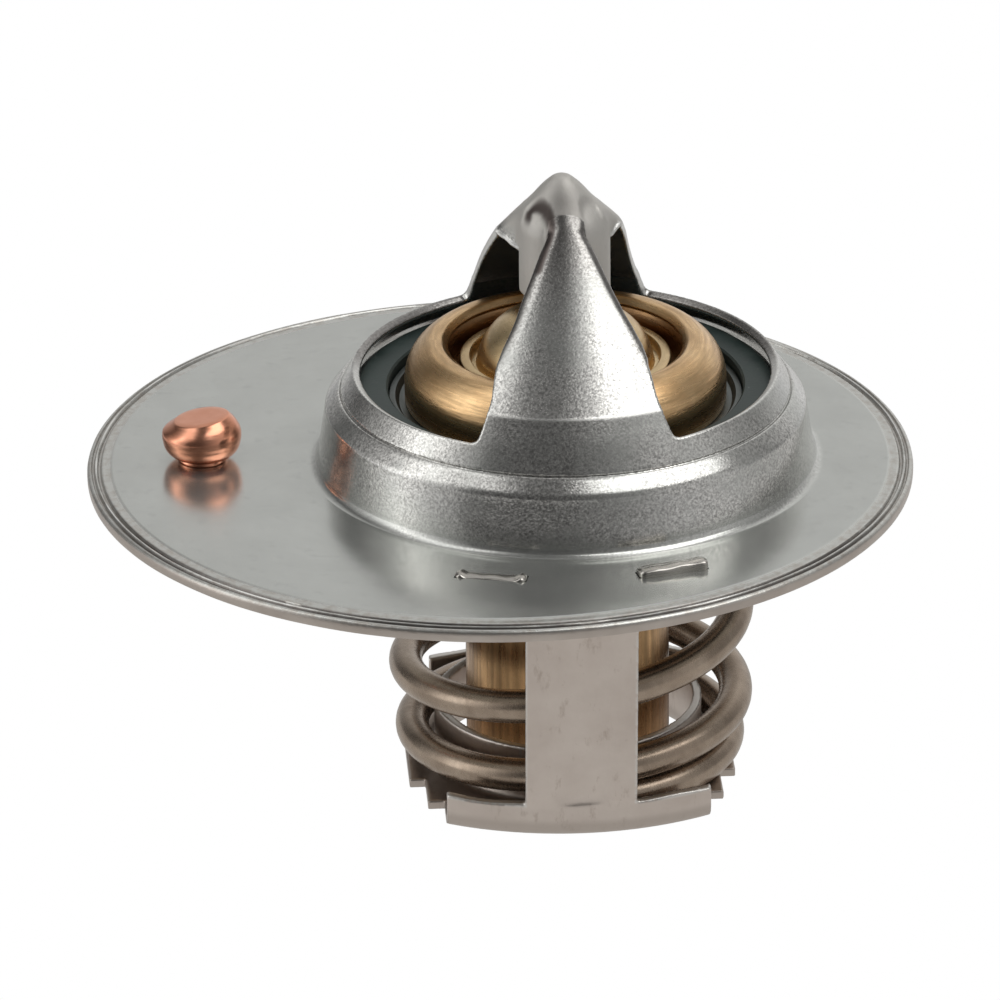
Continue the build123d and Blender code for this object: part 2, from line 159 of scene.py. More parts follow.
def arc3(a, b, c, n=10):
    """Points on the arc through a, b and c."""
    (ax, ay), (bx, by), (cx, cy) = a, b, c
    d = 2 * (ax * (by - cy) + bx * (cy - ay) + cx * (ay - by))
    ux = ((ax**2 + ay**2) * (by - cy) + (bx**2 + by**2) * (cy - ay) + (cx**2 + cy**2) * (ay - by)) / d
    uy = ((ax**2 + ay**2) * (cx - bx) + (bx**2 + by**2) * (ax - cx) + (cx**2 + cy**2) * (bx - ax)) / d
    r = math.hypot(ax - ux, ay - uy)
    t0, t1, t2 = (math.atan2(q[1] - uy, q[0] - ux) for q in (a, b, c))
    turn = (t2 - t0) % (2 * math.pi)
    if (t1 - t0) % (2 * math.pi) > turn:
        turn -= 2 * math.pi
    return [(ux + r * math.cos(t0 + turn * i / n), uy + r * math.sin(t0 + turn * i / n)) for i in range(n + 1)]


class Flat:
    """Signed distance to a closed outline in a plane, negative inside, read from a fine grid."""

    def __init__(self, outline, lo, hi, pitch=0.06):
        p = np.asarray(outline, float)
        q = np.roll(p, -1, 0)
        keep = np.hypot(*(q - p).T) > 1e-9
        p, q = p[keep], q[keep]
        self.lo, self.pitch = np.asarray(lo, float), pitch
        n = [int(math.ceil((hi[i] - lo[i]) / pitch)) + 1 for i in range(2)]
        x = lo[0] + pitch * np.arange(n[0])
        y = lo[1] + pitch * np.arange(n[1])
        gx, gy = np.meshgrid(x, y, indexing="ij")
        best = np.full(gx.shape, 1e9)
        inside = np.zeros(gx.shape, bool)
        for (x0, y0), (x1, y1) in zip(p, q):
            ex, ey = x1 - x0, y1 - y0
            t = np.clip(((gx - x0) * ex + (gy - y0) * ey) / (ex * ex + ey * ey), 0, 1)
            best = np.minimum(best, (gx - x0 - t * ex) ** 2 + (gy - y0 - t * ey) ** 2)
            if y0 != y1:
                cross = ((y0 > gy) != (y1 > gy)) & (gx < (x1 - x0) * (gy - y0) / (y1 - y0) + x0)
                inside ^= cross
        self.d = np.where(inside, -1, 1) * np.sqrt(best)

    def __call__(self, x, y):
        u = np.clip((np.asarray(x) - self.lo[0]) / self.pitch, 0, self.d.shape[0] - 1.001)
        v = np.clip((np.asarray(y) - self.lo[1]) / self.pitch, 0, self.d.shape[1] - 1.001)
        i, j = u.astype(int), v.astype(int)
        fu, fv = u - i, v - j
        d = self.d
        return ((d[i, j] * (1 - fu) + d[i + 1, j] * fu) * (1 - fv)
                + (d[i, j + 1] * (1 - fu) + d[i + 1, j + 1] * fu) * fv)


def level_mesh(f, lo, hi, h, pulls=4):
    """Closed quad mesh of f(x, y, z) = 0, f being negative inside; the points are pulled on to the surface."""
    n = [int(math.ceil((hi[i] - lo[i]) / h)) + 1 for i in range(3)]
    ax = [lo[i] + h * np.arange(n[i]) for i in range(3)]
    F = np.empty(n, np.float32)
    gx, gy = np.meshgrid(ax[0], ax[1], indexing="ij")
    for k in range(n[2]):
        F[:, :, k] = f(gx, gy, np.full_like(gx, ax[2][k]))
    S = F < 0
    count = np.zeros([m - 1 for m in n], np.int8)
    corners = [(i, j, k) for i in (0, 1) for j in (0, 1) for k in (0, 1)]
    for i, j, k in corners:
        count += S[i:n[0] - 1 + i, j:n[1] - 1 + j, k:n[2] - 1 + k]
    active = (count > 0) & (count < 8)
    index = np.full(active.shape, -1, np.int64)
    index[active] = np.arange(active.sum())
    ci, cj, ck = np.nonzero(active)
    P = np.zeros((len(ci), 3))
    W = np.zeros(len(ci))
    for a in corners:
        for axis in range(3):
            if a[axis] == 0:
                b = list(a)
                b[axis] = 1
                fa = F[ci + a[0], cj + a[1], ck + a[2]].astype(float)
                fb = F[ci + b[0], cj + b[1], ck + b[2]].astype(float)
                m = (fa < 0) != (fb < 0)
                t = np.where(m, fa / np.where(m, fa - fb, 1), 0)
                for q in range(3):
                    P[:, q] += np.where(m, a[q] + (t if q == axis else 0), 0)
                W += m
    P = P / W[:, None] + np.stack([ci, cj, ck], 1)
    P = P * h + np.asarray(lo)
    quads = []
    for axis in range(3):
        lo_s = [slice(1, n[q] - 1) for q in range(3)]
        hi_s = list(lo_s)
        lo_s[axis], hi_s[axis] = slice(0, n[axis] - 1), slice(1, n[axis])
        A, B = S[tuple(lo_s)], S[tuple(hi_s)]
        m = A != B
        idx = list(np.nonzero(m))
        flip = ~A[m]
        for q in range(3):
            if q != axis:
                idx[q] = idx[q] + 1
        u, v = (axis + 1) % 3, (axis + 2) % 3

        def cell(du, dv):
            c = [idx[0].copy(), idx[1].copy(), idx[2].copy()]
            c[u] -= du
            c[v] -= dv
            return index[c[0], c[1], c[2]]

        q4 = np.stack([cell(1, 1), cell(0, 1), cell(0, 0), cell(1, 0)], 1)
        q4[flip] = q4[flip][:, ::-1]
        quads.append(q4)
    quads = np.concatenate(quads)
    e = 0.02
    for _ in range(pulls):
        x, y, z = P.T
        f0 = f(x, y, z)
        g = np.stack([(f(x + e, y, z) - f(x - e, y, z)), (f(x, y + e, z) - f(x, y - e, z)),
                      (f(x, y, z + e) - f(x, y, z - e))], 1) / (2 * e)
        g2 = np.maximum((g * g).sum(1), 0.2)
        move = -(f0 / g2)[:, None] * g
        size = np.sqrt((move**2).sum(1))
        move *= np.minimum(1, 0.4 * h / np.maximum(size, 1e-9))[:, None]
        P = P + move
    return P, quads


def lathe(rings, n):
    """Closed surface through rings (centre x, radius, z), in order round the section; n points each."""
    t = np.arange(n) * 2 * math.pi / n
    rows = []
    for ring in rings:
        cx, r, z = ring[:3]
        r = r(t) if callable(r) else r
        z = z(t) if callable(z) else z + 0 * t
        rows.append(np.stack([cx + r * np.cos(t), r * np.sin(t), z], 1))
    v = np.concatenate(rows)
    m = len(rings)
    i = np.arange(n)
    j = (i + 1) % n
    f = []
    for k in range(m):
        k2 = (k + 1) % m
        f.append(np.stack([k * n + i, k * n + j, k2 * n + j, k2 * n + i], 1))
    return v, np.concatenate(f)


def spun(name, profile, n=256, attrs=None, smooth=40.0, centre=AXIS_X):
    """A turned piece from its half section (r, z), which may start and end on the axis."""
    t = np.arange(n) * 2 * math.pi / n
    verts, faces, rows = [], [], []
    for r, z in profile:
        if r < 1e-6:
            rows.append([len(verts)] * n)
            verts.append((0, 0, z))
        else:
            base = len(verts)
            rows.append(list(range(base, base + n)))
            verts += [(r * math.cos(a), r * math.sin(a), z) for a in t]
    me = bpy.data.meshes.new(name)
    closed = profile[0][0] > 1e-6
    pairs = list(zip(rows, rows[1:])) + ([(rows[-1], rows[0])] if closed else [])
    for a, b in pairs:
        for i in range(n):
            j = (i + 1) % n
            q = [a[i], a[j], b[j], b[i]]
            q = [x for k, x in enumerate(q) if x not in q[:k]]
            if len(q) > 2:
                faces.append(q)
    v = [((x + centre) * MM, y * MM, z * MM) for x, y, z in verts]
    me.from_pydata(v, [], faces)
    bm = bmesh.new()
    bm.from_mesh(me)
    bmesh.ops.recalc_face_normals(bm, faces=bm.faces)
    bm.to_mesh(me)
    bm.free()
    me.shade_smooth()
    me.set_sharp_from_angle(angle=math.radians(smooth))
    ob = bpy.data.objects.new(name, me)
    bpy.context.scene.collection.objects.link(ob)
    return ob


# ====================================================================== shader tools
class Graph:
    """Short names for the nodes of one material or world."""

    def __init__(self, tree):
        self.t = tree
        tree.nodes.clear()

    def add(self, kind, props=None, **inputs):
        n = self.t.nodes.new(kind)
        for k, v in (props or {}).items():
            setattr(n, k, v)
        for k, v in inputs.items():
            key = int(k[1:]) if k[0] == "i" and k[1:].isdigit() else k.replace("_", " ")
            self.put(n.inputs[key], v)
        return n

    def put(self, socket, v):
        if isinstance(v, bpy.types.NodeSocket):
            self.t.links.new(v, socket)
        elif isinstance(v, (tuple, list)) and len(v) == 3 and socket.type == "RGBA":
            socket.default_value = (*v, 1)
        else:
            socket.default_value = v

    def math(self, op, a, b=0.0, c=0.0, clamp=False):
        n = self.add("ShaderNodeMath", {"operation": op, "use_clamp": clamp}, i0=a)
        if len(n.inputs) > 1:
            self.put(n.inputs[1], b)
        if len(n.inputs) > 2:
            self.put(n.inputs[2], c)
        return n.outputs[0]

    def vmath(self, op, a, b=(0, 0, 0)):
        n = self.add("ShaderNodeVectorMath", {"operation": op}, i0=a)
        if op == "SCALE":
            self.put(n.inputs["Scale"], b)
        elif op != "LENGTH":
            self.put(n.inputs[1], b)
        return n.outputs["Value" if op in ("LENGTH", "DOT_PRODUCT") else "Vector"]

    def noise(self, vec, scale, detail=3.0, rough=0.55, dim="3D", distort=0.0):
        n = self.add("ShaderNodeTexNoise", {"noise_dimensions": dim}, Scale=scale, Detail=detail, Roughness=rough,
                     Distortion=distort)
        if dim == "1D":
            self.put(n.inputs["W"], vec)
        else:
            self.put(n.inputs["Vector"], vec)
        return n.outputs["Fac"]

    def remap(self, v, a, b, c, d, smooth=False):
        n = self.add("ShaderNodeMapRange", {"interpolation_type": "SMOOTHSTEP" if smooth else "LINEAR"})
        for i, x in enumerate((v, a, b, c, d)):
            self.put(n.inputs[i], x)
        return n.outputs[0]

    def mix(self, fac, a, b, mode="MIX"):
        n = self.add("ShaderNodeMix", {"data_type": "RGBA", "blend_type": mode})
        self.put(n.inputs[0], fac)
        self.put(n.inputs[6], a)
        self.put(n.inputs[7], b)
        return n.outputs[2]

    def ramp(self, v, stops):
        n = self.add("ShaderNodeValToRGB")
        self.put(n.inputs[0], v)
        el = n.color_ramp.elements
        while len(el) > 1:
            el.remove(el[0])
        el[0].position, el[0].color = stops[0][0], (*stops[0][1], 1)
        for p, col in stops[1:]:
            e = el.new(p)
            e.color = (*col, 1)
        return n.outputs[0]

    def bump(self, height, strength, distance, normal=None):
        n = self.add("ShaderNodeBump", Strength=strength, Distance=distance, Height=height)
        if normal is not None:
            self.put(n.inputs["Normal"], normal)
        return n.outputs[0]

    def attr(self, name):
        return self.add("ShaderNodeAttribute", {"attribute_name": name}).outputs["Fac"]

    def place(self):
        return self.add("ShaderNodeTexCoord").outputs["Object"]


def material(name):
    m = bpy.data.materials.new(name)
    m.use_nodes = True
    g = Graph(m.node_tree)
    shader = g.add("ShaderNodeBsdfPrincipled")
    out = g.add("ShaderNodeOutputMaterial")
    g.t.links.new(shader.outputs[0], out.inputs[0])
    return m, g, shader


def polar(g, cx=AXIS_X * MM):
    """Radius, angle round the axis and height of the shaded point."""
    p = g.vmath("SUBTRACT", g.place(), (cx, 0, 0))
    s = g.add("ShaderNodeSeparateXYZ", i0=p)
    x, y, z = s.outputs[0], s.outputs[1], s.outputs[2]
    r = g.math("SQRT", g.math("ADD", g.math("MULTIPLY", x, x), g.math("MULTIPLY", y, y)))
    return p, r, g.math("ARCTAN2", y, x), z


# ====================================================================== materials
def steel_housing():
    """Sheet steel: satin on the flange, grained where it was drawn, smooth on the cap."""
    m, g, s = material("housing_steel_finish")
    p = g.place()
    grain = g.math("MULTIPLY", g.attr("grain"), g.remap(g.noise(p, 210, 3, 0.6), 0.34, 0.60, 0.40, 1.0, True))
    rim = g.attr("rim")
    edge_highlight = g.attr("edge_highlight")
    cap = g.attr("cap")
    cloud = g.noise(p, 220, 3, 0.6)
    speck = g.noise(p, 6600, 3, 0.6)
    dot = g.noise(p, 6300, 3, 0.62, distort=0.6)
    tone = g.remap(cloud, 0.3, 0.7, 0.94, 1.04)
    base = g.mix(grain, (0.552, 0.562, 0.540), (0.64, 0.63, 0.61))
    dots = g.remap(dot, 0.34, 0.62, 0.46, 1.24)
    dots = g.add("ShaderNodeCombineColor", i0=dots, i1=dots, i2=dots).outputs[0]
    base = g.mix(grain, base, g.mix(1.0, base, dots, "MULTIPLY"))
    base = g.mix(cap, base, (0.60, 0.58, 0.55))
    base = g.mix(1.0, base, g.add("ShaderNodeCombineColor", i0=tone, i1=tone, i2=tone).outputs[0], "MULTIPLY")
    blot = g.remap(g.noise(p, 900, 4, 0.7), 0.56, 0.74, 1.0, 0.90)
    base = g.mix(1.0, base, g.add("ShaderNodeCombineColor", i0=blot, i1=blot, i2=blot).outputs[0], "MULTIPLY")
    base = g.mix(rim, base, g.ramp(g.noise(p, 1500, 4, 0.7), [(0.42, (0.60, 0.60, 0.575)), (0.62, (0.50, 0.475, 0.44))]))
    low = g.remap(g.add("ShaderNodeSeparateXYZ", i0=p).outputs[2], -0.0002, -0.00045, 0, 1, True)
    base = g.mix(g.math("MULTIPLY", rim, low), base, g.ramp(cloud, [(0.35, (0.45, 0.395, 0.355)), (0.65, (0.55, 0.495, 0.45))]))
    # painted shade: darkens the folds, the rim's grooves, the arm's flanks and the cap's top
    base = g.mix(g.attr("painted_shade"), base, (0.09, 0.075, 0.07))
    # light edges: bare cut metal with painted highlights along edges, creases and the rim's ridge
    base = g.mix(edge_highlight, base, (0.80, 0.79, 0.77))
    g.put(s.inputs["Base Color"], base)
    s.inputs["Metallic"].default_value = 0.915

    def blend(fac, a, b):
        n = g.add("ShaderNodeMix", {"data_type": "FLOAT"})
        g.put(n.inputs[0], fac)
        g.put(n.inputs[2], a)
        g.put(n.inputs[3], b)
        return n.outputs[0]

    rough = blend(grain, g.remap(cloud, 0.3, 0.7, 0.16, 0.21), g.remap(dot, 0.3, 0.7, 0.15, 0.10))
    rough = blend(cap, rough, 0.56)
    rough = blend(edge_highlight, rough, 0.42)
    rough = blend(rim, rough, 0.30)
    g.put(s.inputs["Roughness"], rough)
    n1 = g.bump(g.math("MULTIPLY", g.math("SUBTRACT", speck, 0.5), g.remap(grain, 0, 1, 0.14, 1.0)), 1.0, 0.0000095)
    streak = g.noise(g.vmath("MULTIPLY", p, (1, 1, 0.05)), 5200, 2, 0.6)
    n2 = g.bump(g.math("MULTIPLY", streak, cap), 0.5, 0.00003, n1)
    n3 = g.bump(g.math("MULTIPLY", g.noise(p, 3400, 2, 0.6), rim), 0.4, 0.00004, n2)
    g.put(s.inputs["Normal"], n3)
    return m


def steel_frame():
    m, g, s = material("frame_steel_finish")
    p = g.place()
    cloud = g.noise(p, 300, 4, 0.6)
    lines = g.noise(g.vmath("MULTIPLY", p, (1, 1, 0.06)), 5000, 3, 0.6)
    edge_highlight = g.attr("edge_highlight")
    base = g.ramp(cloud, [(0.3, (0.58, 0.505, 0.455)), (0.7, (0.69, 0.615, 0.56))])
    smear = g.noise(g.vmath("MULTIPLY", p, (1, 1, 0.4)), 1400, 4, 0.7)
    base = g.mix(g.remap(smear, 0.58, 0.74, 0.0, 0.5), base, (0.36, 0.29, 0.24))
    z = g.add("ShaderNodeSeparateXYZ", i0=p).outputs[2]
    # painted shade: the bottom plate darker and browner, lying in shadow under the spring
    base = g.mix(g.remap(z, -0.0199, -0.0193, 0.55, 0.0, True), base, (0.40, 0.35, 0.31))
    # painted highlight along the leg's sides, the lip's top edge and the collar's rim
    base = g.mix(edge_highlight, base, (0.74, 0.72, 0.69))
    g.put(s.inputs["Base Color"], base)
    s.inputs["Metallic"].default_value = 1.0
    g.put(s.inputs["Roughness"], g.remap(cloud, 0.3, 0.7, 0.36, 0.44))
    n1 = g.bump(lines, 0.35, 0.00003)
    n2 = g.bump(g.noise(p, 1300, 3, 0.6), 0.25, 0.00005, n1)
    g.put(s.inputs["Normal"], n2)
    return m


def spring_steel():
    m, g, s = material("spring_steel_finish")
    q, r, a, z = polar(g)
    along = g.add("ShaderNodeCombineXYZ", i0=g.math("MULTIPLY", a, 0.0006), i1=r, i2=z).outputs[0]
    lines = g.noise(along, 4200, 3, 0.6)
    cloud = g.noise(q, 380, 4, 0.65)
    spot = g.noise(q, 2400, 3, 0.7)
    base = g.ramp(cloud, [(0.28, (0.28, 0.215, 0.165)), (0.5, (0.38, 0.30, 0.235)), (0.74, (0.48, 0.39, 0.31))])
    dark = g.remap(spot, 0.64, 0.74, 0.0, 0.26)
    base = g.mix(dark, base, (0.14, 0.11, 0.088))
    g.put(s.inputs["Base Color"], base)
    s.inputs["Metallic"].default_value = 0.92
    g.put(s.inputs["Roughness"], g.remap(spot, 0.3, 0.7, 0.22, 0.32))
    n1 = g.bump(lines, 0.25, 0.00002)
    n2 = g.bump(spot, 0.12, 0.00002, n1)
    g.put(s.inputs["Normal"], n2)
    return m


def brass(name, light, dark, marks, rough=(0.2, 0.34)):
    """Turned brass: rings cut by the tool, cloudy tarnish, painted shade in the groove next to the cup's mouth."""
    m, g, s = material(name)
    q, r, a, z = polar(g)
    ringv = g.add("ShaderNodeCombineXYZ", i0=r, i1=z, i2=g.math("MULTIPLY", a, 0.0009)).outputs[0]
    rings = g.noise(ringv, 3600, 4, 0.7)
    cloud = g.noise(q, 420, 4, 0.6)
    base = g.mix(g.remap(cloud, 0.3, 0.7, 0, 1), dark, light)
    base = g.mix(g.remap(rings, 0.35, 0.65, 0.0, 0.35), base, tuple(c * 0.72 for c in dark))
    # painted shade in the groove between the guide's rim and the cup's crimped mouth
    base = g.mix(g.remap(r, 0.00661, 0.00668, 0, 1), base, (0.34, 0.20, 0.10))
    g.put(s.inputs["Base Color"], base)
    s.inputs["Metallic"].default_value = 1.0
    g.put(s.inputs["Roughness"], g.remap(rings, 0.3, 0.7, rough[0], rough[1]))
    n1 = g.bump(rings, marks, 0.00005)
    n2 = g.bump(g.noise(q, 2500, 2, 0.5), 0.15, 0.00003, n1)
    g.put(s.inputs["Normal"], n2)
    return m


def brass_cup():
    """The cup: rings on the head, upright scratches on the barrel."""
    m, g, s = material("cup_brass_finish")
    q, r, a, z = polar(g)
    head = g.remap(z, 0.0036, 0.0040, 0.0, 1.0)
    side = g.remap(z, -0.0193, -0.0190, 0.0, 1.0)
    turned = g.math("MAXIMUM", head, g.math("SUBTRACT", 1.0, side))
    ringv = g.add("ShaderNodeCombineXYZ", i0=r, i1=z, i2=g.math("MULTIPLY", a, 0.0009)).outputs[0]
    rings = g.noise(ringv, 3600, 4, 0.7)
    downv = g.add("ShaderNodeCombineXYZ", i0=g.math("MULTIPLY", a, 0.0064), i1=g.math("MULTIPLY", z, 0.09)).outputs[0]
    down = g.noise(downv, 2600, 4, 0.7)
    marks = g.add("ShaderNodeMix", {"data_type": "FLOAT"})
    g.put(marks.inputs[0], turned)
    g.put(marks.inputs[2], down)
    g.put(marks.inputs[3], rings)
    mk = marks.outputs[0]
    cloud = g.noise(q, 420, 4, 0.6)
    # painted shade on the inner wall of the cup's crimped mouth
    mouth_shade = g.math("MULTIPLY", g.remap(r, 0.00739, 0.00752, 1, 0), g.remap(z, 0.00762, 0.0077, 1, 0))
    headc = g.mix(g.remap(cloud, 0.3, 0.7, 0, 1), (0.76, 0.475, 0.235), (0.95, 0.655, 0.36))
    barc = g.mix(g.remap(cloud, 0.3, 0.7, 0, 1), (0.38, 0.22, 0.105), (0.57, 0.355, 0.175))
    # painted reflection streaks: broad upright bands, lighter and darker, round the barrel
    reflection_bands = g.remap(g.noise(g.math("MULTIPLY", a, 2.3), 1.6, 3, 0.6, "1D"), 0.36, 0.64, 0.55, 1.45)
    barc = g.mix(side, barc, g.mix(1.0, barc, g.add("ShaderNodeCombineColor", i0=reflection_bands, i1=reflection_bands, i2=reflection_bands).outputs[0],
                                   "MULTIPLY"))
    base = g.mix(head, barc, headc)
    shade = g.remap(mk, 0.35, 0.68, 0.0, 0.55)
    base = g.mix(shade, base, (0.26, 0.17, 0.085))
    base = g.mix(g.math("MULTIPLY", mouth_shade, head), base, (0.36, 0.21, 0.10))
    g.put(s.inputs["Base Color"], base)
    s.inputs["Metallic"].default_value = 1.0
    g.put(s.inputs["Roughness"], g.remap(mk, 0.3, 0.7, 0.22, 0.36))
    n1 = g.bump(mk, 0.45, 0.00006)
    n2 = g.bump(g.noise(q, 2500, 2, 0.5), 0.15, 0.00003, n1)
    g.put(s.inputs["Normal"], n2)
    return m


def copper():
    m, g, s = material("pin_copper_finish")
    q, r, a, z = polar(g, -18.75 * MM)
    ringv = g.add("ShaderNodeCombineXYZ", i0=r, i1=z, i2=g.math("MULTIPLY", a, 0.0005)).outputs[0]
    rings = g.noise(ringv, 5200, 3, 0.6)
    cloud = g.noise(q, 600, 3, 0.6)
    base = g.mix(g.remap(cloud, 0.3, 0.7, 0, 1), (0.78, 0.33, 0.20), (0.88, 0.42, 0.28))
    g.put(s.inputs["Base Color"], base)
    s.inputs["Metallic"].default_value = 0.97
    g.put(s.inputs["Roughness"], g.remap(rings, 0.3, 0.7, 0.15, 0.24))
    g.put(s.inputs["Normal"], g.bump(rings, 0.25, 0.00002))
    return m


def rubber(name, light, dark):
    m, g, s = material(name)
    p = g.place()
    cloud = g.noise(p, 500, 4, 0.6)
    dust = g.noise(p, 3800, 2, 0.5)
    base = g.mix(g.remap(cloud, 0.3, 0.7, 0, 1), dark, light)
    base = g.mix(g.remap(dust, 0.70, 0.78, 0.0, 0.35), base, (0.22, 0.25, 0.25))
    g.put(s.inputs["Base Color"], base)
    g.put(s.inputs["Roughness"], g.remap(cloud, 0.3, 0.7, 0.34, 0.46))
    g.put(s.inputs["Normal"], g.bump(dust, 0.2, 0.00003))
    s.inputs["Specular IOR Level"].default_value = 0.3
    return m


def plain_steel(name, col, rough):
    m, g, s = material(name)
    q, r, a, z = polar(g)
    ringv = g.add("ShaderNodeCombineXYZ", i0=r, i1=z, i2=g.math("MULTIPLY", a, 0.0006)).outputs[0]
    rings = g.noise(ringv, 4200, 3, 0.6)
    cloud = g.noise(q, 500, 3, 0.6)
    base = g.mix(g.remap(cloud, 0.3, 0.7, 0, 1), tuple(c * 0.85 for c in col), col)
    g.put(s.inputs["Base Color"], base)
    s.inputs["Metallic"].default_value = 1.0
    g.put(s.inputs["Roughness"], g.remap(rings, 0.3, 0.7, rough * 0.8, rough * 1.25))
    g.put(s.inputs["Normal"], g.bump(rings, 0.3, 0.00003))
    return m


def waxy(name, a, b, rough):
    m, g, s = material(name)
    p = g.place()
    g.put(s.inputs["Base Color"], g.mix(g.noise(p, 900, 4, 0.6), a, b))
    s.inputs["Roughness"].default_value = rough
    g.put(s.inputs["Normal"], g.bump(g.noise(p, 1800, 2, 0.5), 0.2, 0.00004))
    return m


MAT = {
    "housing": steel_housing(),
    "frame": steel_frame(),
    "tab": plain_steel("tab_steel_finish", (0.56, 0.535, 0.50), 0.24),
    "spring": spring_steel(),
    "cup": brass_cup(),
    "guide": brass("guide_brass_finish", (0.88, 0.68, 0.40), (0.66, 0.47, 0.25), 0.35, rough=(0.24, 0.36)),
    "copper": copper(),
    "seal": rubber("seal_rubber_finish", (0.020, 0.028, 0.026), (0.011, 0.017, 0.016)),
    "sleeve": rubber("sleeve_rubber_finish", (0.06, 0.06, 0.06), (0.035, 0.035, 0.035)),
    "disc": plain_steel("disc_steel_finish", (0.17, 0.185, 0.18), 0.42),
    "piston": plain_steel("piston_steel_finish", (0.68, 0.68, 0.67), 0.22),
    "ring": waxy("ring_plastic_finish", (0.80, 0.80, 0.76), (0.88, 0.87, 0.84), 0.5),
    "wax": waxy("wax_finish", (0.58, 0.43, 0.22), (0.75, 0.60, 0.34), 0.45),
}


def paint(ob, mat):
    ob.data.materials.clear()
    ob.data.materials.append(mat)


# ====================================================================== hood
APEX, SLOPE = 19.3, 0.934
RIM = (13.35, 6.2)
CREASE = (12.28, 7.83)
GROOVE_TOP = (14.12, 4.88)
SHEET = 0.6


def unit(a, b):
    dx, dz = b[0] - a[0], b[1] - a[1]
    n = math.hypot(dx, dz)
    return dx / n, dz / n


arm_edge = spline([(0.98, -2.75), (1.42, -3.4), (2.15, -4.6), (3.0, -6.0), (3.67, -7.4), (4.7, -9.4), (5.35, -11.0),
                   (6.35, -12.1)], 10)
pocket = spline([(2.45, -1.0), (2.15, -0.62), (1.65, -0.85), (1.15, -1.5), (0.98, -2.1), (0.98, -2.75)], 8)
# on each side: corner of the wing, and the place where its edge meets the socket's wall
WING = {-1: ((4.15, 1.9), (2.80, -0.35), (14.62, 14.30)), 1: ((3.52, 0.5), (2.80, -0.50), (15.50, 15.18))}
REAR = {-1: [(6.1, 12.3), (5.55, 11.4), (5.25, 10.0), (4.85, 7.0), (4.40, 4.5), (4.15, 1.9)],
        1: [(6.0, 12.3), (5.45, 11.4), (4.85, 9.5), (4.30, 6.3), (3.90, 3.2), (3.52, 0.5)]}
windows = {}
for side in (-1, 1):
    corner, meet, _ = WING[side]
    outline = (arm_edge + [(7.2, -12.3), (14.5, -8.0), (14.5, 8.0), (7.0, 12.6)] + spline(REAR[side], 8)
               + [meet, (2.72, -0.75)] + pocket[:-1])
    windows[side] = Flat(outline, (-0.6, -15.0), (15.0, 15.0), 0.06)


def window(x, y):
    return np.where(x < 0, windows[-1](-x, y), windows[1](x, y))


def widen(x, y):
    """How far the front arm's sheet reaches past its plain outline."""
    left = np.interp(y, [-12.5, -10.2, -9.4, -8.6, -7.8, -7.2, -6.5, -5.5, -3.5, -2.7, -1.8],
                     [0.04, 0.06, 0.18, 0.32, 0.34, 0.24, 0.13, 0.14, 0.24, 0.2, 0])
    right = np.interp(y, [-12.5, -10.2, -9.4, -8.8, -8.4, -7.7, -6.9, -6.3, -5.5, -3.5, -2.7, -1.8],
                      [0.06, 0.10, 0.18, 0.26, 0.42, 0.52, 0.40, 0.22, 0.14, 0.24, 0.2, 0])
    return np.where(x < 0, left, right)


def wing_side(x, y):
    """Distance outside the upright plane through a wing's corner and its meeting place with the wall."""
    out = []
    for side in (-1, 1):
        (cx, cy), (mx, my), _ = WING[side]
        dx, dy = cx - mx, cy - my
        n = math.hypot(dx, dy)
        out.append((np.abs(x) - cx) * dy / n - (y - cy) * dx / n)
    return np.where(x < 0, out[0], out[1])


def wing_low(x):
    """Height of a wing's lower edge."""
    out = []
    for side in (-1, 1):
        (cx, _), (mx, _), (zc, zm) = WING[side]
        out.append(zm + (zc - zm) * np.clip((np.abs(x) - mx) / (cx - mx), -0.2, 1.2))
    return np.where(x < 0, out[0], out[1])


def capsule(x, y, z, a, b, r):
    a, b = np.asarray(a), np.asarray(b)
    d = b - a
    t = np.clip(((x - a[0]) * d[0] + (y - a[1]) * d[1] + (z - a[2]) * d[2]) / (d @ d), 0, 1)
    return np.sqrt((x - a[0] - t * d[0]) ** 2 + (y - a[1] - t * d[1]) ** 2 + (z - a[2] - t * d[2]) ** 2) - r


socket_outline = ([(2.33, 11.55), (2.48, 11.4), (2.73, 11.4), (2.85, 11.52), (2.85, 15.6)]
                  + arc3((2.85, 15.6), (2.5, 16.75), (1.5, 17.55), 10)[1:] + [(0, 18.0), (-1, 18.0), (-1, 17.6)]
                  + [(0.6, 17.6), (2.33, 16.25)])
socket = Flat(socket_outline, (-0.2, 10.0), (15.0, 20.0), 0.05)

n_seat = unit(RIM, CREASE)
n_low = unit(GROOVE_TOP, RIM)


top_curve = np.array(spline([(0, 0), (0.22, 0.012), (0.45, 0.06), (0.8, 0.30), (1.2, 0.67), (2.0, 1.61), (3.0, 2.62),
                            (4.0, 3.552)], 12))


def beads(x, y, z):
    """The sheared lip along each wing's lower edge."""
    d = None
    for side in (-1, 1):
        (cx, cy), (mx, my), (zc, zm) = WING[side]
        q = capsule(side * x, y, z + 0.03 * np.sin(x * 9.0), (cx, cy - 0.05, zc + 0.02), (mx + 0.06, my + 0.06, zm), 0.13)
        d = q if d is None else np.minimum(d, q)
    return d


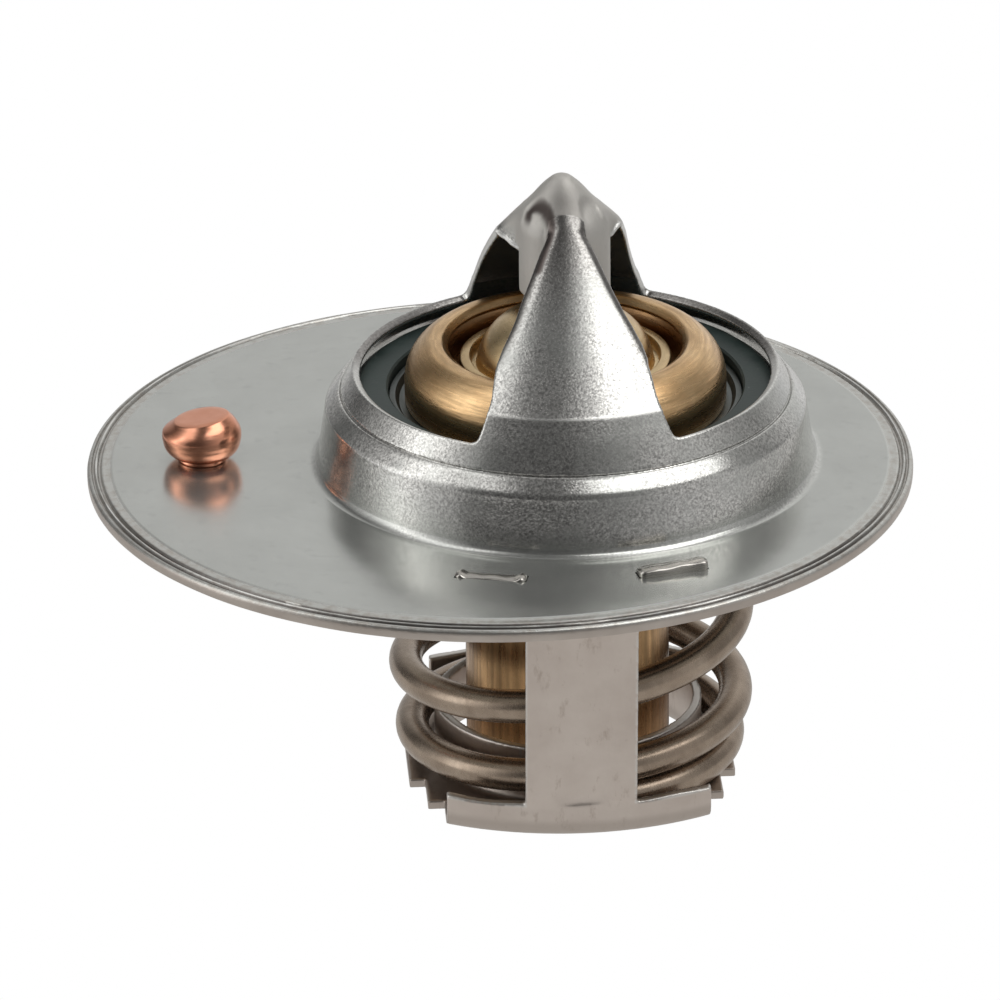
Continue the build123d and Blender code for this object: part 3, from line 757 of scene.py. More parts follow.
def hood_field(x, y, z):
    x = x + 0.16 * step(z, 15.0, 17.5) * step(y, -3.5, -1.0)
    r = np.hypot(x, y)
    rs = np.where(r < 4.0, (APEX - 19.116 + np.interp(r, top_curve[:, 0], top_curve[:, 1])) / SLOPE, r)
    # the front arm's sides roll down towards the piston's socket, so its sheet is a little wider there
    w = window(x, y) + widen(x, y)
    amount = np.interp(y, [-10.0, -8.8, -7.8, -6.8, -5.5, -4.2, -3.2, -2.6, -1.8], [0, 0.08, 0.26, 0.36, 0.42, 0.56, 0.66, 0.5, 0])
    amount = amount * step(-r, -12.2, -10.0)
    sh = np.clip(1 - np.maximum(w, 0) / 0.95, 0, 1)
    drop = amount * (1 - np.sqrt(np.maximum(1 - sh * sh, 1e-4)))
    droop = np.where(x < 0, 0.03, 0.10) * np.clip(np.abs(x) - 2.2, 0, 2.5) ** 2 * (
        step(-np.abs(y), -6.0, -2.0) * step(-r, -7.5, -5.5))
    zz = z + drop + droop
    top = (zz - (APEX - SLOPE * rs)) / math.hypot(1, SLOPE)
    seat = (r - RIM[0]) * n_seat[1] - (zz - RIM[1]) * n_seat[0]
    low = (r - RIM[0]) * n_low[1] - (zz - RIM[1]) * n_low[0]
    out = smax(smax(top, seat, 0.03), low, 0.04)
    sheet = smax(out, -(out + SHEET), 0.05)
    below_rim = (r - RIM[0]) * n_seat[0] + (z - RIM[1]) * n_seat[1]
    keep = smin(-w, below_rim, 0.5)
    plane = wing_side(x, y)
    near = np.exp(-(plane / 0.45) ** 2) * step(y, -1.3, -0.5) * (1 - step(y, 1.6, 2.4)) * step(np.abs(x), 2.2, 2.8)
    soft = 0.12 + 0.55 * near + 0.30 * np.exp(-((np.abs(x) - 1.6) ** 2 + (y + 1.2) ** 2) / 0.6)
    body = smax(sheet, keep, soft)
    foot = -1.60 - ((r - RIM[0]) * n_low[0] + (z - RIM[1]) * n_low[1])
    body = smax(body, foot, 0.12)
    # wings: the cap turns down to the socket's wall
    shell = smax(out, plane, 0.8)
    wing = smax(shell, -(shell + 0.5), 0.05)
    reach = np.maximum(np.maximum(2.3 - np.abs(x), y - 2.6), np.maximum(-0.9 - y, np.abs(x) - np.where(x < 0, 4.17, 3.55)))
    wing = smax(wing, np.maximum(reach, r - 5.2), 0.06)
    wing = smax(wing, wing_low(x) - z, 0.06)
    body = smin(body, wing, 0.10)
    tube = socket(r, z)
    body = smin(body, tube, 0.28)
    return smin(body, beads(x, y, z), 0.06)


# the line of the fold where the front arm leaves the cap and its pockets: painted shade is laid along it
fold_line = np.array(spline([(-2.36, -1.35), (-2.22, -1.08), (-1.95, -1.02), (-1.58, -1.25), (-1.15, -1.85), (-0.92, -2.5),
                             (-1.10, -3.2), (-1.42, -3.8), (-1.85, -4.6)], 6))


def make_hood():
    v, f = level_mesh(hood_field, (-14.6, -14.6, 4.35), (14.6, 14.6, 19.4), 0.125)
    x, y, z = v.T
    r = np.hypot(x, y)
    w = window(x, y) + widen(x, y)
    below = (r - RIM[0]) * n_seat[0] + (z - RIM[1]) * n_seat[1]
    # grained where the sheet was drawn over, smooth on the cap and on the socket's wall
    arm = step(-y, 2.18, 2.26) * (1 - step(np.abs(x) - 1.45 - 0.72 * (-2.1 - y), -0.05, 0.05))
    arm = arm * step(w, -0.10, -0.02)
    wall = (1 - step(r, 3.0, 3.15)) * (1 - arm)
    grain = np.maximum(arm, step(z, 15.8, 14.6) * (1 - wall))
    # light sheared edges of the windows, the rim and the wings' lips: bare cut metal with a painted highlight
    edge_highlight = (np.abs(np.minimum(w, 0.5)) < 0.05) & (below > -0.1) & (r > 4.6) & ((y > 0) | (r > 7.8))
    rim_edge = (np.abs(below) < 0.05) & (w < 0.05)
    e = np.where(edge_highlight | rim_edge | (beads(x, y, z) < 0.04), 1.0, 0.0)
    # painted shade in the fold and pockets beside the front arm's root, and a painted dark line along the rim's edge
    # at the back
    gaps = np.full((2, len(v)), 9.0)
    for q in fold_line:
        k = int(q[1] < -1.7)
        gaps[k] = np.minimum(gaps[k], np.hypot(x - q[0], y - q[1]))
    painted_shade = np.maximum(np.exp(-(gaps[0] / 0.30) ** 4) * step(z, 16.1, 16.8), np.exp(-(gaps[1] / 0.34) ** 4) * step(z, 13.2, 14.6))
    painted_shade = np.maximum(painted_shade, 0.6 * rim_edge * step(y, -3.0, 3.0))
    # painted shade along the arm's rolled flanks, up its top towards the cap, and on the cap in front of the apex
    flank = step(-w, -0.95, -0.15) * np.interp(y, [-9.0, -8.4, -7.2, -5.0, -2.6, -2.1], [0, 0.40, 0.75, 0.80, 0.75, 0])
    upper = np.interp(y, [-7.6, -6.2, -5.0, -3.8, -2.2, -2.1], [0, 0.16, 0.34, 0.50, 0.62, 0])
    cap_top_shade = 0.42 * np.exp(-((x + 0.1) / 1.1) ** 2) * step(-y, 0.2, 1.7) * (1 - arm) * step(z, 16.5, 17.2)
    painted_shade = np.maximum(painted_shade, np.maximum(arm * np.maximum(flank, upper), cap_top_shade))
    # a painted highlight along the crease at the front of the arm's foot
    crease = np.exp(-((r - CREASE[0] - 0.02) / 0.055) ** 2) * (w > 0.1) * (z > CREASE[1] - 0.2) * (y < 0)
    # the rim's edge keeps its painted highlight only in front; at the back it has painted shade instead
    e = e * np.where(rim_edge, 1 - step(y, -3.0, 3.0), 1.0)
    return new_object("hood", v, f, turn=HOOD_TURN, smooth=180,
                      attrs={"grain": grain * (1 - 0.7 * e), "edge_highlight": np.maximum(e * 0.8, 0.6 * crease), "rim": np.zeros(len(v)),
                             "cap": (1 - grain) * (1 - e), "painted_shade": painted_shade})


hood = make_hood()
paint(hood, MAT["housing"])


# ====================================================================== flange and collar
def make_flange():
    rings = []

    def on_axis(r, z):
        rings.append((AXIS_X, r, z))

    def on_rim(r, z):
        rings.append((0.0, r, z))

    # plate, from the rim's step in to the collar's foot
    for t in np.linspace(1, 0, 9)[:-1]:
        rings.append((AXIS_X * (1 - t), 16.5 + (24.30 - 16.5) * t, 0.0))
    for q in arc3((16.25, 0.0), (15.79, 0.19), (15.6, 0.65), 9):
        on_axis(*q)
    for t in np.linspace(0, 1, 9)[1:]:
        on_axis(15.6 - 0.47 * t, 0.65 + 2.95 * t)
    for q in [(15.118, 3.71), (15.08, 3.83), (15.02, 3.93), (14.94, 4.03), (14.80, 4.195), (14.66, 4.36), (14.53, 4.515),
              (14.47, 4.585), (14.41, 4.65), (14.35, 4.71), (14.30, 4.745)]:
        on_axis(*q)
    for q in [(14.25, 4.755), (14.19, 4.73), (14.12, 4.70), (13.98, 4.80), (13.80, 5.06), (13.62, 4.95), (13.70, 4.55),
              (13.85, 4.25), (14.1, 4.02), (14.28, 3.75), (14.38, 3.45), (14.66, 1.7), (14.95, -0.1)]:
        on_axis(*q)
    for q in arc3((14.95, -0.1), (15.2, -0.7), (15.8, -0.95), 8)[1:]:
        on_axis(*q)
    for t in np.linspace(0, 1, 7)[1:]:
        rings.append((AXIS_X * (1 - t), 16.0 + (24.6 - 16.0) * t, -0.95))
    rough = [wobble(np.arange(720) * 2 * math.pi / 720, 40 + k, 5, 17.0) for k in range(8)]
    tt = np.arange(720) * 2 * math.pi / 720

    def jig(k, amp, v):
        return lambda t: v + 0.5 * amp * np.interp(t, tt, rough[k])

    def ring(k, r, z, ar=0.008, az=0.005):
        rings.append((0.0, jig(k % 8, ar, r), jig((k + 3) % 8, az, z)))

    on_rim(25.84, -0.95)
    for k, r, z in [(0, 25.93, -0.925), (0, 25.97, -0.86), (1, 25.985, -0.72), (1, 25.99, -0.55), (2, 25.985, -0.38),
                    (2, 25.95, -0.28), (3, 25.87, -0.20), (3, 25.79, -0.165), (4, 25.73, -0.16), (4, 25.66, -0.27),
                    (5, 25.58, -0.275), (5, 25.52, -0.15), (6, 25.47, -0.09), (6, 25.40, -0.088), (7, 25.35, -0.13),
                    (7, 25.28, -0.275), (0, 25.17, -0.28), (0, 25.10, -0.13), (1, 25.04, -0.085), (1, 24.94, -0.08)]:
        ring(k, r, z, 0.014 if 25.1 < r < 25.8 else 0.008, 0.012 if 25.1 < r < 25.8 else 0.006)
    for r, z in [(24.75, -0.078), (24.60, -0.070), (24.52, -0.052), (24.46, -0.022), (24.40, -0.004), (24.34, 0.002),
                 (24.32, 0.0)]:
        on_rim(r, z)
    v, f = lathe(rings, 720)
    f = f[:, ::-1]
    ob = new_object("flange_collar", v, f, shift=(0, 0, 0), smooth=180)

    # slots for the lower frame's tabs, and the vent pin's hole
    cut = bmesh.new()
    c, s = math.cos(FRAME_TURN), math.sin(FRAME_TURN)
    for sx in (-1, 1):
        for sy in (-1, 1):
            cx, cy = sx * 5.55 + TAB_SHIFT * sy, sy * 18.0
            pts = [(-2.25, -0.5), (2.25, -0.5), (2.25, 0.5), (-2.25, 0.5)]
            ct, st = math.cos(TAB_TURN), -sx * sy * math.sin(TAB_TURN)
            pts = [(ct * a - st * b, st * a + ct * b) for a, b in pts]
            lo = [cut.verts.new(((AXIS_X + c * (cx + a) - s * (cy + b)) * MM, (s * (cx + a) + c * (cy + b)) * MM, -2 * MM))
                  for a, b in pts]
            hi = [cut.verts.new((p.co.x, p.co.y, 1 * MM)) for p in lo]
            cut.faces.new(lo[::-1])
            cut.faces.new(hi)
            for i in range(4):
                j = (i + 1) % 4
                cut.faces.new((lo[i], lo[j], hi[j], hi[i]))
    n = 48
    lo = [cut.verts.new(((-18.75 + 1.2 * math.cos(2 * math.pi * i / n)) * MM, 1.2 * math.sin(2 * math.pi * i / n) * MM, -2 * MM))
          for i in range(n)]
    hi = [cut.verts.new((p.co.x, p.co.y, 1 * MM)) for p in lo]
    cut.faces.new(lo[::-1])
    cut.faces.new(hi)
    for i in range(n):
        j = (i + 1) % n
        cut.faces.new((lo[i], lo[j], hi[j], hi[i]))
    me = bpy.data.meshes.new("cut")
    cut.to_mesh(me)
    cut.free()
    tool = bpy.data.objects.new("cut", me)
    bpy.context.scene.collection.objects.link(tool)
    mod = ob.modifiers.new("cut", "BOOLEAN")
    mod.operation = "DIFFERENCE"
    mod.solver = "EXACT"
    mod.object = tool
    dg = bpy.context.evaluated_depsgraph_get()
    done = bpy.data.meshes.new_from_object(ob.evaluated_get(dg))
    ob.modifiers.clear()
    ob.data = done
    bpy.data.objects.remove(tool)
    done.name = "flange_collar"
    p = coords(done)
    rv = np.hypot(p[:, 0] - AXIS_X, p[:, 1])
    rc = np.hypot(p[:, 0], p[:, 1])
    grain = np.maximum((1 - step(rv, 15.65, 15.8)) * step(p[:, 2], 0.35, 0.9), 0.4 * (1 - step(rv, 15.8, 16.3)))
    rim = step(rc, 24.42, 24.60)
    # painted shade in the rim's two grooves, darker in front, and a painted highlight along the ridge between them
    deep = ((np.abs(rc - 25.225) < 0.13) | (np.abs(rc - 25.62) < 0.12)) & (p[:, 2] > -0.5) & (p[:, 2] < -0.12)
    ridge = 0.8 * ((np.abs(rc - 25.43) < 0.06) & (p[:, 2] > -0.5)) * step(np.interp(np.arctan2(p[:, 1], p[:, 0]) % 6.2832,
                                                                               tt, rough[2]), -0.9, 0.9)
    set_attr(done, "grain", grain)
    set_attr(done, "rim", rim)
    set_attr(done, "edge_highlight", ridge)
    set_attr(done, "cap", np.zeros(len(p)))
    set_attr(done, "painted_shade", deep * (0.25 + 0.55 * step(-p[:, 1], 4.0, 18.0)))
    done.shade_smooth()
    done.set_sharp_from_angle(angle=math.radians(40))
    return ob


flange = make_flange()
paint(flange, MAT["housing"])
for piece in (hood, flange):
    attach(piece, "housing")
    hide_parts("flange_housing")


# ====================================================================== lower frame
PLATE_Z = -20.5               # middle of the bottom plate's sheet
step_plan = [(10.35, 0), (10.35, 4.15), (9.35, 4.15), (9.35, 7.4), (8.3, 7.4), (8.3, 9.5), (0, 9.5)]
plate_outline = (step_plan + [(-x, y) for x, y in step_plan[::-1]] + [(-x, -y) for x, y in step_plan]
                 + [(x, -y) for x, y in step_plan[::-1]])
plate = Flat(plate_outline, (-0.5, -0.5), (12.0, 11.0), 0.06)
neck_outline = [(9.4, -20.8), (9.4, -20.2), (9.0, -20.2)] + arc3((9.0, -20.2), (8.65, -20.05), (8.5, -19.7), 8)[1:] + [
    (8.5, -16.5), (7.95, -16.5), (7.95, -19.9)] + arc3((7.95, -19.9), (8.21, -20.54), (8.85, -20.8), 8)[1:]
neck = Flat(neck_outline, (5.0, -22.0), (13.0, -14.0), 0.05)
foot_outline = [(0, 14.6), (3.5, 14.6), (3.5, 15.3), (8.1, 16.7), (8.1, 18.4), (0, 18.4), (-8.1, 18.4), (-8.1, 16.7),
                (-3.5, 15.3), (-3.5, 14.6)]
foot = Flat(foot_outline, (-0.5, 13.0), (12.0, 20.0), 0.06)
LEAN = (14.8 - 12.5) / (-0.95 - 0.6 + 18.4)


def frame_field(x0, y0, z):
    x, y = np.abs(x0), np.abs(y0)
    # bottom plate with its hole
    rho = np.hypot(x0, y0)
    d = smax(np.abs(z - PLATE_Z) - 0.3, plate(x, y), 0.08)
    d = smax(d, 8.6 - rho, 0.05)
    d = smin(d, neck(rho, z), 0.05)
    # lip: the plate's end turned up on a wide arc
    plan = np.hypot(x, y + 5.7)
    lx, lz = plan - 17.0, z + 19.6
    corner = np.hypot(np.maximum(lx, 0), np.minimum(lz, 0))
    bent = np.where((lx > 0) & (lz < 0), np.abs(corner - 0.9),
                    np.where(lz >= 0, np.abs(lx - 0.9), np.abs(lz + 0.9)))
    lip = bent - 0.3
    lip = smax(lip, x - 8.3, 0.10)
    top_z = -18.4 + 0.05 * np.sin(x0 * 1.3)
    lip = smax(lip, z - top_z, 0.10)
    lip = smax(lip, 8.0 - y, 0.05)
    d = smin(d, lip, 0.12)
    # leg: follows the lip's arc at its foot, flat above, with a shallow flute
    arc = 18.2 - np.sqrt(np.maximum(18.2**2 - x * x, 1.0))
    bend = 1 - step(z, -18.7, -17.5)
    flute = 0.13 * (1 - step(x, 1.5, 2.15)) * step(z, -18.75 + 0.12 * np.minimum(x, 2.4) ** 2,
                                                 -17.85 + 0.12 * np.minimum(x, 2.4) ** 2) * (1 - step(z, -8.0, -4.0))
    y_out = 12.5 + LEAN * np.maximum(z + 18.4, -1.0) - arc * bend - flute
    zt = z + 1.55
    leg = np.abs(y - (y_out - 0.3)) - 0.3
    leg = smax(leg, x - 3.5, 0.10)
    leg = smax(leg, z + 1.2, 0.05)
    leg = smax(leg, -19.0 - z, 0.05)
    d = smin(d, leg, 0.10)
    # foot under the flange, and the tabs through it
    ft = smax(np.abs(z + 1.25) - 0.3, foot(x, y), 0.08)
    d = smin(d, ft, 0.35)
    xs, ys = np.abs(x0 - TAB_SHIFT * np.sign(y0)) - 5.55, y - 18.0
    ct, st = math.cos(TAB_TURN), -math.sin(TAB_TURN)
    xs, ys = ct * xs + st * ys, ct * ys - st * xs
    tab = smax(smax(np.abs(xs) - 2.15, np.abs(ys) - 0.4, 0.08), np.abs(z + 0.6) - 0.5, 0.08)
    d = smin(d, tab, 0.05)
    return d


def make_frame():
    v, f = level_mesh(frame_field, (-11.2, -19.3, -21.2), (11.2, 19.3, 0.5), 0.155)
    x, y, z = v.T
    ax, ay = np.abs(x), np.abs(y)
    # edges that get a painted highlight: the leg's sides, the lip's top edge and the collar's rim
    edge_highlight = ((np.abs(ax - 3.5) < 0.09) & (z > -18.4) & (z < -1.6)) | (
        (np.abs(z + 18.4) < 0.12) & (ax > 3.4) & (ay > 9)) | ((np.abs(z + 16.5) < 0.06) & (np.hypot(x, y) < 8.8))
    ob = new_object("cage", v, f, turn=FRAME_TURN, smooth=180, attrs={"edge_highlight": np.where(edge_highlight, 0.8, 0.0)})
    return ob


cage = make_frame()
paint(cage, MAT["frame"])


def tab_head(kind):
    """Upset head of one tab, on its own place: low with swollen ends, or a raised pad."""

    def field(x, y, z):
        if kind == "low":
            height = 0.07 + 0.17 * np.exp(-((np.abs(x) - 1.9) / 0.27) ** 2) + 0.012 * np.sin(x * 4.3 + y * 3)
            side = smax(np.abs(x) - 2.22, np.abs(y) - 0.50 + 0.05 * np.cos(x * 2.1), 0.35)
            d = smax(side, z - height - 0.05 * np.cos(y * 5), 0.14)
        else:
            height = 0.52 - 0.10 * step(y, -0.1, 0.40) + 0.07 * x / 2.2 + 0.02 * np.sin(x * 4)
            side = smax(np.abs(x) - 2.2, np.abs(y) - 0.64 + 0.05 * np.sin(x * 1.7), 0.40)
            d = smax(side, z - height, 0.26)
        return smax(d, -0.15 - z, 0.05)

    v, f = level_mesh(field, (-2.6, -0.9, -0.35), (2.6, 0.9, 0.6), 0.06)
    return v, f


parts_v, parts_f, off = [], [], 0
for sx in (-1, 1):
    for sy in (-1, 1):
        v, f = tab_head("low" if sx * sy > 0 else "pad")
        v = v.copy()
        if sy > 0:
            v[:, :2] *= -1
        ct, st = math.cos(TAB_TURN), -sx * sy * math.sin(TAB_TURN)
        v[:, :2] = np.stack([ct * v[:, 0] - st * v[:, 1], st * v[:, 0] + ct * v[:, 1]], 1)
        v[:, 0] += sx * 5.55 + TAB_SHIFT * sy
        v[:, 1] += sy * 18.0
        parts_v.append(v)
        parts_f.append(f + off)
        off += len(v)
heads = new_object("tab_heads", np.concatenate(parts_v), np.concatenate(parts_f), turn=FRAME_TURN, smooth=180,
                   attrs={"edge_highlight": np.full(off, 0.15)})
paint(heads, MAT["tab"])
for piece in (cage, heads):
    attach(piece, "housing")
    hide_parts("lower_frame")


# ====================================================================== spring
KNOTS = [(-435, -19.14), (-400, -19.08), (-330, -18.95), (-260, -18.74), (-180, -18.38), (-130, -17.95),
         (-75, -16.99), (-40, -16.6), (44, -15.7), (140, -14.5), (230, -13.2), (300, -11.4), (360, -10.05),
         (450, -8.45), (540, -6.6), (630, -4.75), (720, -2.9), (800, -1.5), (870, -0.45), (900, -0.02),
         (930, 0.35), (1000, 1.05), (1080, 1.6), (1170, 2.0), (1260, 2.14)]


def wire_height(t):
    kx, ky = np.array(KNOTS, float).T
    h = np.diff(kx)
    d = np.diff(ky) / h
    m = np.concatenate([[d[0]], 2 * d[:-1] * d[1:] / (d[:-1] + d[1:]), [d[-1]]])
    i = np.clip(np.searchsorted(kx, t, side="right") - 1, 0, len(h) - 1)
    u = (t - kx[i]) / h[i]
    return ((2 * u**3 - 3 * u**2 + 1) * ky[i] + (u**3 - 2 * u**2 + u) * h[i] * m[i]
            + (-2 * u**3 + 3 * u**2) * ky[i + 1] + (u**3 - u**2) * h[i] * m[i + 1])


def make_spring():
    wire, ring, count = 1.06, 28, 1150
    t = np.linspace(KNOTS[0][0], KNOTS[-1][0], count)
    a = np.radians(t)
    z = wire_height(t)
    low = step(z, -18.5, -15.5)
    rad = 10.04 + 0.48 * low - 0.15 * step(z, -6.0, 0.0)
    c = np.stack([(0.13 + 0.11 * low) * (1 - step(z, -6.0, 1.5)) + rad * np.cos(a), rad * np.sin(a), z], 1)
    tan = np.gradient(c, axis=0)
    tan /= np.linalg.norm(tan, axis=1)[:, None]
    out = np.stack([np.cos(a), np.sin(a), 0 * a], 1)
    out -= (out * tan).sum(1)[:, None] * tan
    out /= np.linalg.norm(out, axis=1)[:, None]
    up = np.cross(tan, out)
    ph = np.arange(ring) * 2 * math.pi / ring
    # the wire's size varies a little, and the cut ends are slightly rounded
    along = np.arange(count) * (3.2 * math.pi * 20.8 / count)
    rows = []
    for i in range(count):
        s = wire * (1 + 0.004 * math.sin(along[i] * 0.9))
        rows.append(c[i] + s * (np.cos(ph)[:, None] * out[i] + np.sin(ph)[:, None] * up[i]))

    def cap(i, sign):
        ends = []
        for k, (shrink, ahead) in enumerate([(1.0, 0.0), (0.985, 0.05), (0.93, 0.11), (0.80, 0.15)]):
            ends.append(c[i] + sign * ahead * tan[i] + shrink * wire * (np.cos(ph)[:, None] * out[i] + np.sin(ph)[:, None] * up[i]))
        return ends

    head = cap(0, -1)[::-1]
    tail = cap(count - 1, 1)
    rows = head + rows[1:-1] + tail
    v = np.concatenate(rows)
    m = len(rows)
    i = np.arange(ring)
    j = (i + 1) % ring
    faces = []
    for k in range(m - 1):
        faces.append(np.stack([k * ring + i, (k + 1) * ring + i, (k + 1) * ring + j, k * ring + j], 1))
    faces = [tuple(int(q) for q in row) for row in np.concatenate(faces)]
    n0 = len(v)
    v = np.concatenate([v, [c[0] - 0.16 * tan[0]], [c[-1] + 0.16 * tan[-1]]])
    faces += [(int(j[q]), n0, int(i[q])) for q in range(ring)]
    last = (m - 1) * ring
    faces += [(last + int(i[q]), n0 + 1, last + int(j[q])) for q in range(ring)]
    me = bpy.data.meshes.new("spring_wire")
    v = v * MM
    v[:, 0] += AXIS_X * MM
    me.from_pydata([tuple(p) for p in v], [], faces)
    bm = bmesh.new()
    bm.from_mesh(me)
    bmesh.ops.recalc_face_normals(bm, faces=bm.faces)
    bm.to_mesh(me)
    bm.free()
    me.shade_smooth()
    ob = bpy.data.objects.new("spring_wire", me)
    bpy.context.scene.collection.objects.link(ob)
    return ob


spring = make_spring()
paint(spring, MAT["spring"])
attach(spring, "housing")
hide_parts("main_spring")
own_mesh(spring)


# ====================================================================== vent pin
pin_profile = ([(0, -3.75), (1.2, -3.75)] + arc3((1.2, -3.75), (1.62, -3.6), (1.8, -3.25), 6)[1:]
               + [(1.8, -2.75)] + arc3((1.8, -2.75), (1.7, -2.45), (1.4, -2.28), 5)[1:]
               + [(0.95, -2.25), (0.85, -2.15), (0.85, -0.1), (0.95, 0.0), (1.46, 0.0), (1.54, 0.05), (1.56, 0.13),
                  (1.52, 0.22), (1.54, 0.27)]
               + arc3((1.58, 0.30), (2.12, 0.58), (2.42, 1.12), 12)
               + [(2.45, 1.25), (2.455, 1.36), (2.49, 1.46), (2.50, 1.62), (2.495, 1.85), (2.46, 2.02)]
               + arc3((2.42, 2.12), (2.14, 2.58), (1.78, 3.0), 8)
               + [(1.74, 3.05), (1.66, 3.085), (1.2, 3.10), (0.6, 3.095), (0, 3.09)])
pin = spun("vent_pin_body", pin_profile, 160, centre=-18.75, smooth=32)
co = coords(pin.data)
lift = step(co[:, 2], 1.5, 3.1) * np.clip((co[:, 2] - 1.5) / 1.6, 0, 1) ** 0.5
co[:, 2] += lift * (0.15 * (co[:, 0] + 18.75) - 0.03 * co[:, 1] - 0.25)
pin.data.vertices.foreach_set("co", (co * MM).astype(np.float32).ravel())
pin.data.update()
paint(pin, MAT["copper"])
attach(pin, "vent_pin")
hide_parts("jiggle_pin")

# ====================================================================== wax cup and guide
cup_profile = ([(0, -19.6), (5.70, -19.6)] + arc3((5.70, -19.6), (6.23, -19.38), (6.45, -18.85), 6)[1:]
               + [(6.45, 4.0), (9.85, 4.0), (10.03, 4.06), (10.10, 4.25), (10.10, 5.2)]
               + arc3((10.10, 5.35), (9.72, 6.85), (8.72, 7.86), 12)
               + [(8.55, 7.94), (8.3, 7.985), (8.0, 8.0), (7.84, 8.0), (7.74, 7.975), (7.66, 7.92), (7.42, 7.75), (7.36, 7.69),
                  (7.36, 7.62), (7.5, 7.45), (7.5, 7.40), (8.4, 7.40), (8.95, 6.7), (8.95, 4.85), (5.6, 4.85),
                  (5.6, -18.6), (0, -18.6)])
guide_profile = ([(2.3, 5.95), (2.3, 9.65), (2.34, 9.76), (2.45, 9.8), (2.8, 9.8)]
                 + arc3((2.8, 9.8), (4.55, 8.75), (5.5, 7.0), 14)[1:]
                 + [(5.55, 6.62), (5.62, 6.52), (5.86, 6.52), (5.93, 6.62), (5.95, 6.92), (6.03, 7.0), (6.5, 7.0), (6.6, 6.94),
                    (6.63, 6.8), (6.7, 5.95), (7.3, 5.95), (7.34, 7.0), (7.55, 7.38), (8.4, 7.38), (8.9, 6.70), (8.9, 5.27),
                    (4.2, 5.27), (4.2, 5.95)])
for name, profile, node, key, slot in (("cup_body", cup_profile, "wax_cup", "cup", "cup_brass"),
                                       ("guide_body", guide_profile, "guide", "guide", "guide_brass")):
    piece = spun(name, profile, 288, smooth=38)
    paint(piece, MAT[key])
    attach(piece, "valve")
    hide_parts(node)

# ====================================================================== pieces that keep their solids
for name, key in (("valve_disc", "disc"), ("valve_seal", "seal"),
                  ("piston", "piston"), ("rubber_sleeve", "sleeve"), ("back_up_ring", "ring"), ("wax_charge", "wax")):
    paint(nodes[name], MAT[key])


# ====================================================================== floor, light and camera
LOW = [(-180, 0.62), (-168, 0.58), (-150, 0.30), (-132, 0.05), (-116, 0.25), (-101, 0.6), (-90, 1.3), (-82, 1.9),
       (-72, 1.3), (-62, 0.72), (-52, 0.42), (-43, 0.10), (-22, 0.06), (0, 0.07), (19, 0.17), (38, 0.32), (57, 0.50),
       (76, 0.56), (95, 0.32), (114, 0.25), (130, 0.48), (145, 0.70), (159, 0.78), (180, 0.62)]


def round_table(g, x, y):
    """Brightness of the low part of the room by azimuth, from the front to the right."""
    az = g.math("MULTIPLY", g.math("ARCTAN2", x, g.math("MULTIPLY", y, -1.0)), 180 / math.pi)
    return g.ramp(g.remap(az, -180, 180, 0, 1), [((d + 180) / 360, (q, q, q)) for d, q in LOW])


def make_floor():
    me = bpy.data.meshes.new("floor")
    s, z = 8.0, -20.8 * MM - 0.00002
    me.from_pydata([(-s, -s, z), (s, -s, z), (s, s, z), (-s, s, z)], [], [(0, 1, 2, 3)])
    ob = bpy.data.objects.new("floor", me)
    bpy.context.scene.collection.objects.link(ob)
    m = bpy.data.materials.new("floor_finish")
    m.use_nodes = True
    g = Graph(m.node_tree)
    path = g.add("ShaderNodeLightPath").outputs["Is Camera Ray"]
    q = g.add("ShaderNodeSeparateXYZ", i0=g.place())
    far = g.vmath("LENGTH", g.place())
    # pale round the object, and further off as dim or bright as the room is in that direction
    seen_in_metal = g.mix(g.remap(far, 0.05, 0.24, 0, 1, True), (0.60, 0.595, 0.58), round_table(g, q.outputs[0], q.outputs[1]))
    face = g.add("ShaderNodeEmission")
    g.put(face.inputs["Color"], g.mix(path, seen_in_metal, (1.0, 1.0, 1.0)))
    clear = g.add("ShaderNodeBsdfTransparent")
    back = g.add("ShaderNodeNewGeometry").outputs["Backfacing"]
    both = g.add("ShaderNodeMixShader")
    g.put(both.inputs[0], back)
    g.put(both.inputs[1], face.outputs[0])
    g.put(both.inputs[2], clear.outputs[0])
    out = g.add("ShaderNodeOutputMaterial")
    g.t.links.new(both.outputs[0], out.inputs[0])
    me.materials.append(m)


make_floor()


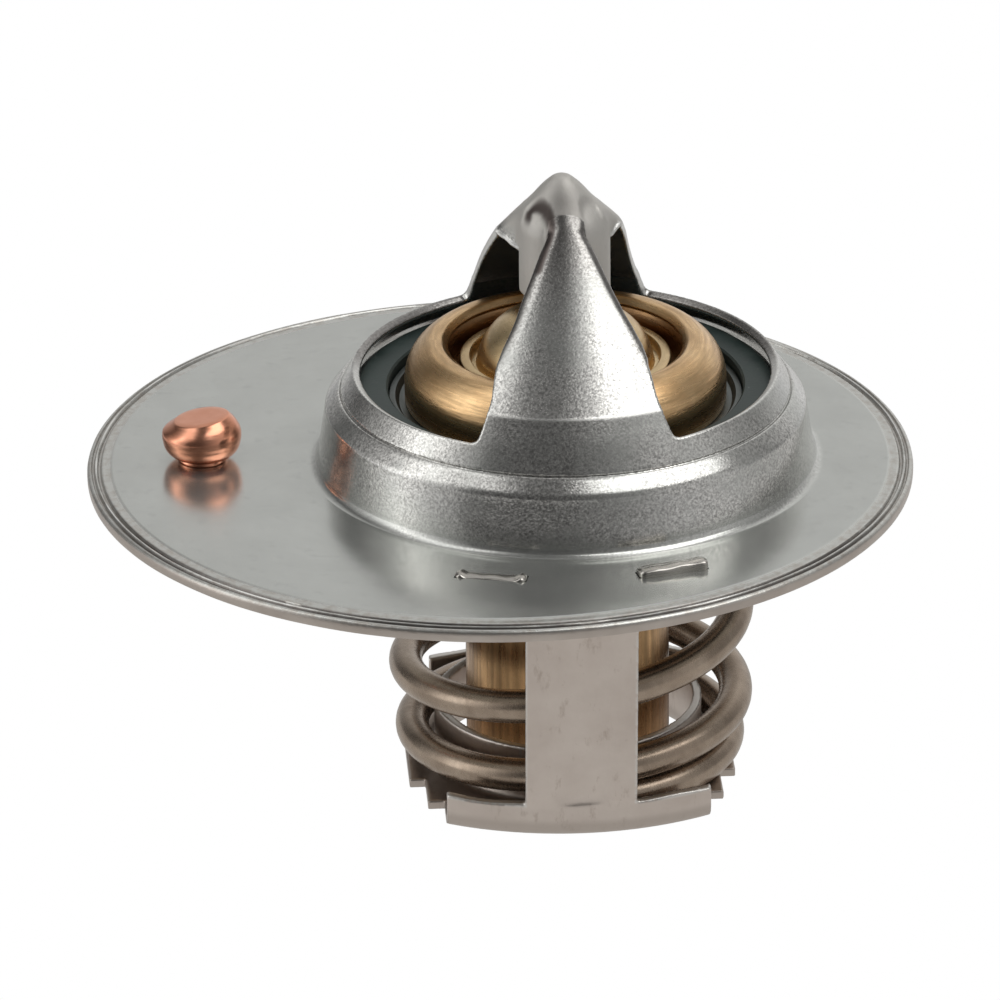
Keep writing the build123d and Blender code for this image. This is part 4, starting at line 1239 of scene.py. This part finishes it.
def make_world():
    """Studio: a tall soft box on the left, a high one on the right, a dim room in front, a grey wall behind."""
    w = bpy.data.worlds.new("studio")
    bpy.context.scene.world = w
    w.use_nodes = True
    g = Graph(w.node_tree)
    v = g.add("ShaderNodeTexCoord").outputs["Generated"]
    s = g.add("ShaderNodeSeparateXYZ", i0=v)
    x, y, z = s.outputs[0], s.outputs[1], s.outputs[2]
    el = g.math("MULTIPLY", g.math("ARCSINE", z), 180 / math.pi)
    low = round_table(g, x, y)
    # overhead the brightness goes from left to right, and the ceiling behind is bright too
    high = g.ramp(g.remap(x, -1, 1, 0, 1), [((d + 1) / 2, (q, q, q)) for d, q in [
        (-0.9, 1.0), (-0.5, 1.35), (-0.42, 1.2), (-0.35, 0.40), (-0.26, 0.15), (-0.1, 0.10), (0.0, 0.12), (0.09, 0.34),
        (0.17, 0.75), (0.26, 1.3), (0.34, 2.6), (0.6, 2.6), (0.8, 1.0)]])
    high = g.mix(g.remap(y, 0.08, 0.36, 0, 1, True), high, (0.62, 0.62, 0.62))
    total = g.mix(g.remap(el, 40, 59, 0, 1, True), low, high)
    sill = g.math("SUBTRACT", el, g.math("SUBTRACT", 48.0, g.math("MULTIPLY", g.math("SUBTRACT", x, 0.37), 30.0)))
    pane = g.math("MULTIPLY", g.remap(sill, 0, 4, 0, 1, True), g.remap(el, 60, 64, 1, 0, True))
    pane = g.math("MULTIPLY", pane, g.math("MULTIPLY", g.remap(x, 0.03, 0.12, 0, 1, True), g.remap(y, -0.04, 0.10, 1, 0, True)))
    total = g.mix(pane, total, (2.4, 2.4, 2.4))
    seen = g.add("ShaderNodeBackground", Color=(1.0, 1.0, 1.0), Strength=1.0)
    lit = g.add("ShaderNodeBackground", Color=(1.0, 1.0, 0.985))
    g.put(lit.inputs["Color"], g.mix(1.0, total, (1.0, 1.0, 0.985), "MULTIPLY"))
    path = g.add("ShaderNodeLightPath").outputs["Is Camera Ray"]
    both = g.add("ShaderNodeMixShader")
    g.put(both.inputs[0], path)
    g.put(both.inputs[1], lit.outputs[0])
    g.put(both.inputs[2], seen.outputs[0])
    out = g.add("ShaderNodeOutputWorld")
    g.t.links.new(both.outputs[0], out.inputs[0])


make_world()


def area(name, where, aim, size, power, colour=(1, 1, 1)):
    li = bpy.data.lights.new(name, "AREA")
    li.shape = "RECTANGLE"
    li.size, li.size_y = size
    li.energy = power
    li.color = colour
    ob = bpy.data.objects.new(name, li)
    bpy.context.scene.collection.objects.link(ob)
    ob.location = where
    ob.rotation_mode = "QUATERNION"
    ob.rotation_quaternion = (Vector(aim) - Vector(where)).to_track_quat("-Z", "Y")
    ob.visible_camera = False
    return ob


top = area("soft_top", (0.0, 0.1, 1.6), (0, 0, 0), (1.4, 1.4), 26)
top.visible_glossy = False

# camera: the reference view is 23.7 degrees above, from the front, with a very long lens
cam_data = bpy.data.cameras.new("camera")
cam = bpy.data.objects.new("camera", cam_data)
bpy.context.scene.collection.objects.link(cam)
FOCAL = 9570.0
cam_data.sensor_width = 36.0
cam_data.sensor_fit = "HORIZONTAL"
cam_data.lens = FOCAL * 36.0 / 1000.0
cam_data.clip_start, cam_data.clip_end = 0.01, 100
el = math.radians(23.7)
target = Vector((AXIS_X, 0, 0)) * MM
back = Vector((0, -math.cos(el), math.sin(el)))
cam.location = target + back * 0.6025
looking = (-back).to_track_quat("-Z", "Y") @ Quaternion((0, 0, 1), math.radians(-0.4))
seen_at = Vector(((566.0 - 500.0) / FOCAL, (500.0 - 455.8) / FOCAL, -1.0)).normalized()
cam.rotation_mode = "QUATERNION"
cam.rotation_quaternion = looking @ seen_at.rotation_difference(Vector((0, 0, -1)))
bpy.context.scene.camera = cam

bpy.context.scene.view_settings.view_transform = "Standard"
bpy.context.scene.view_settings.look = "None"
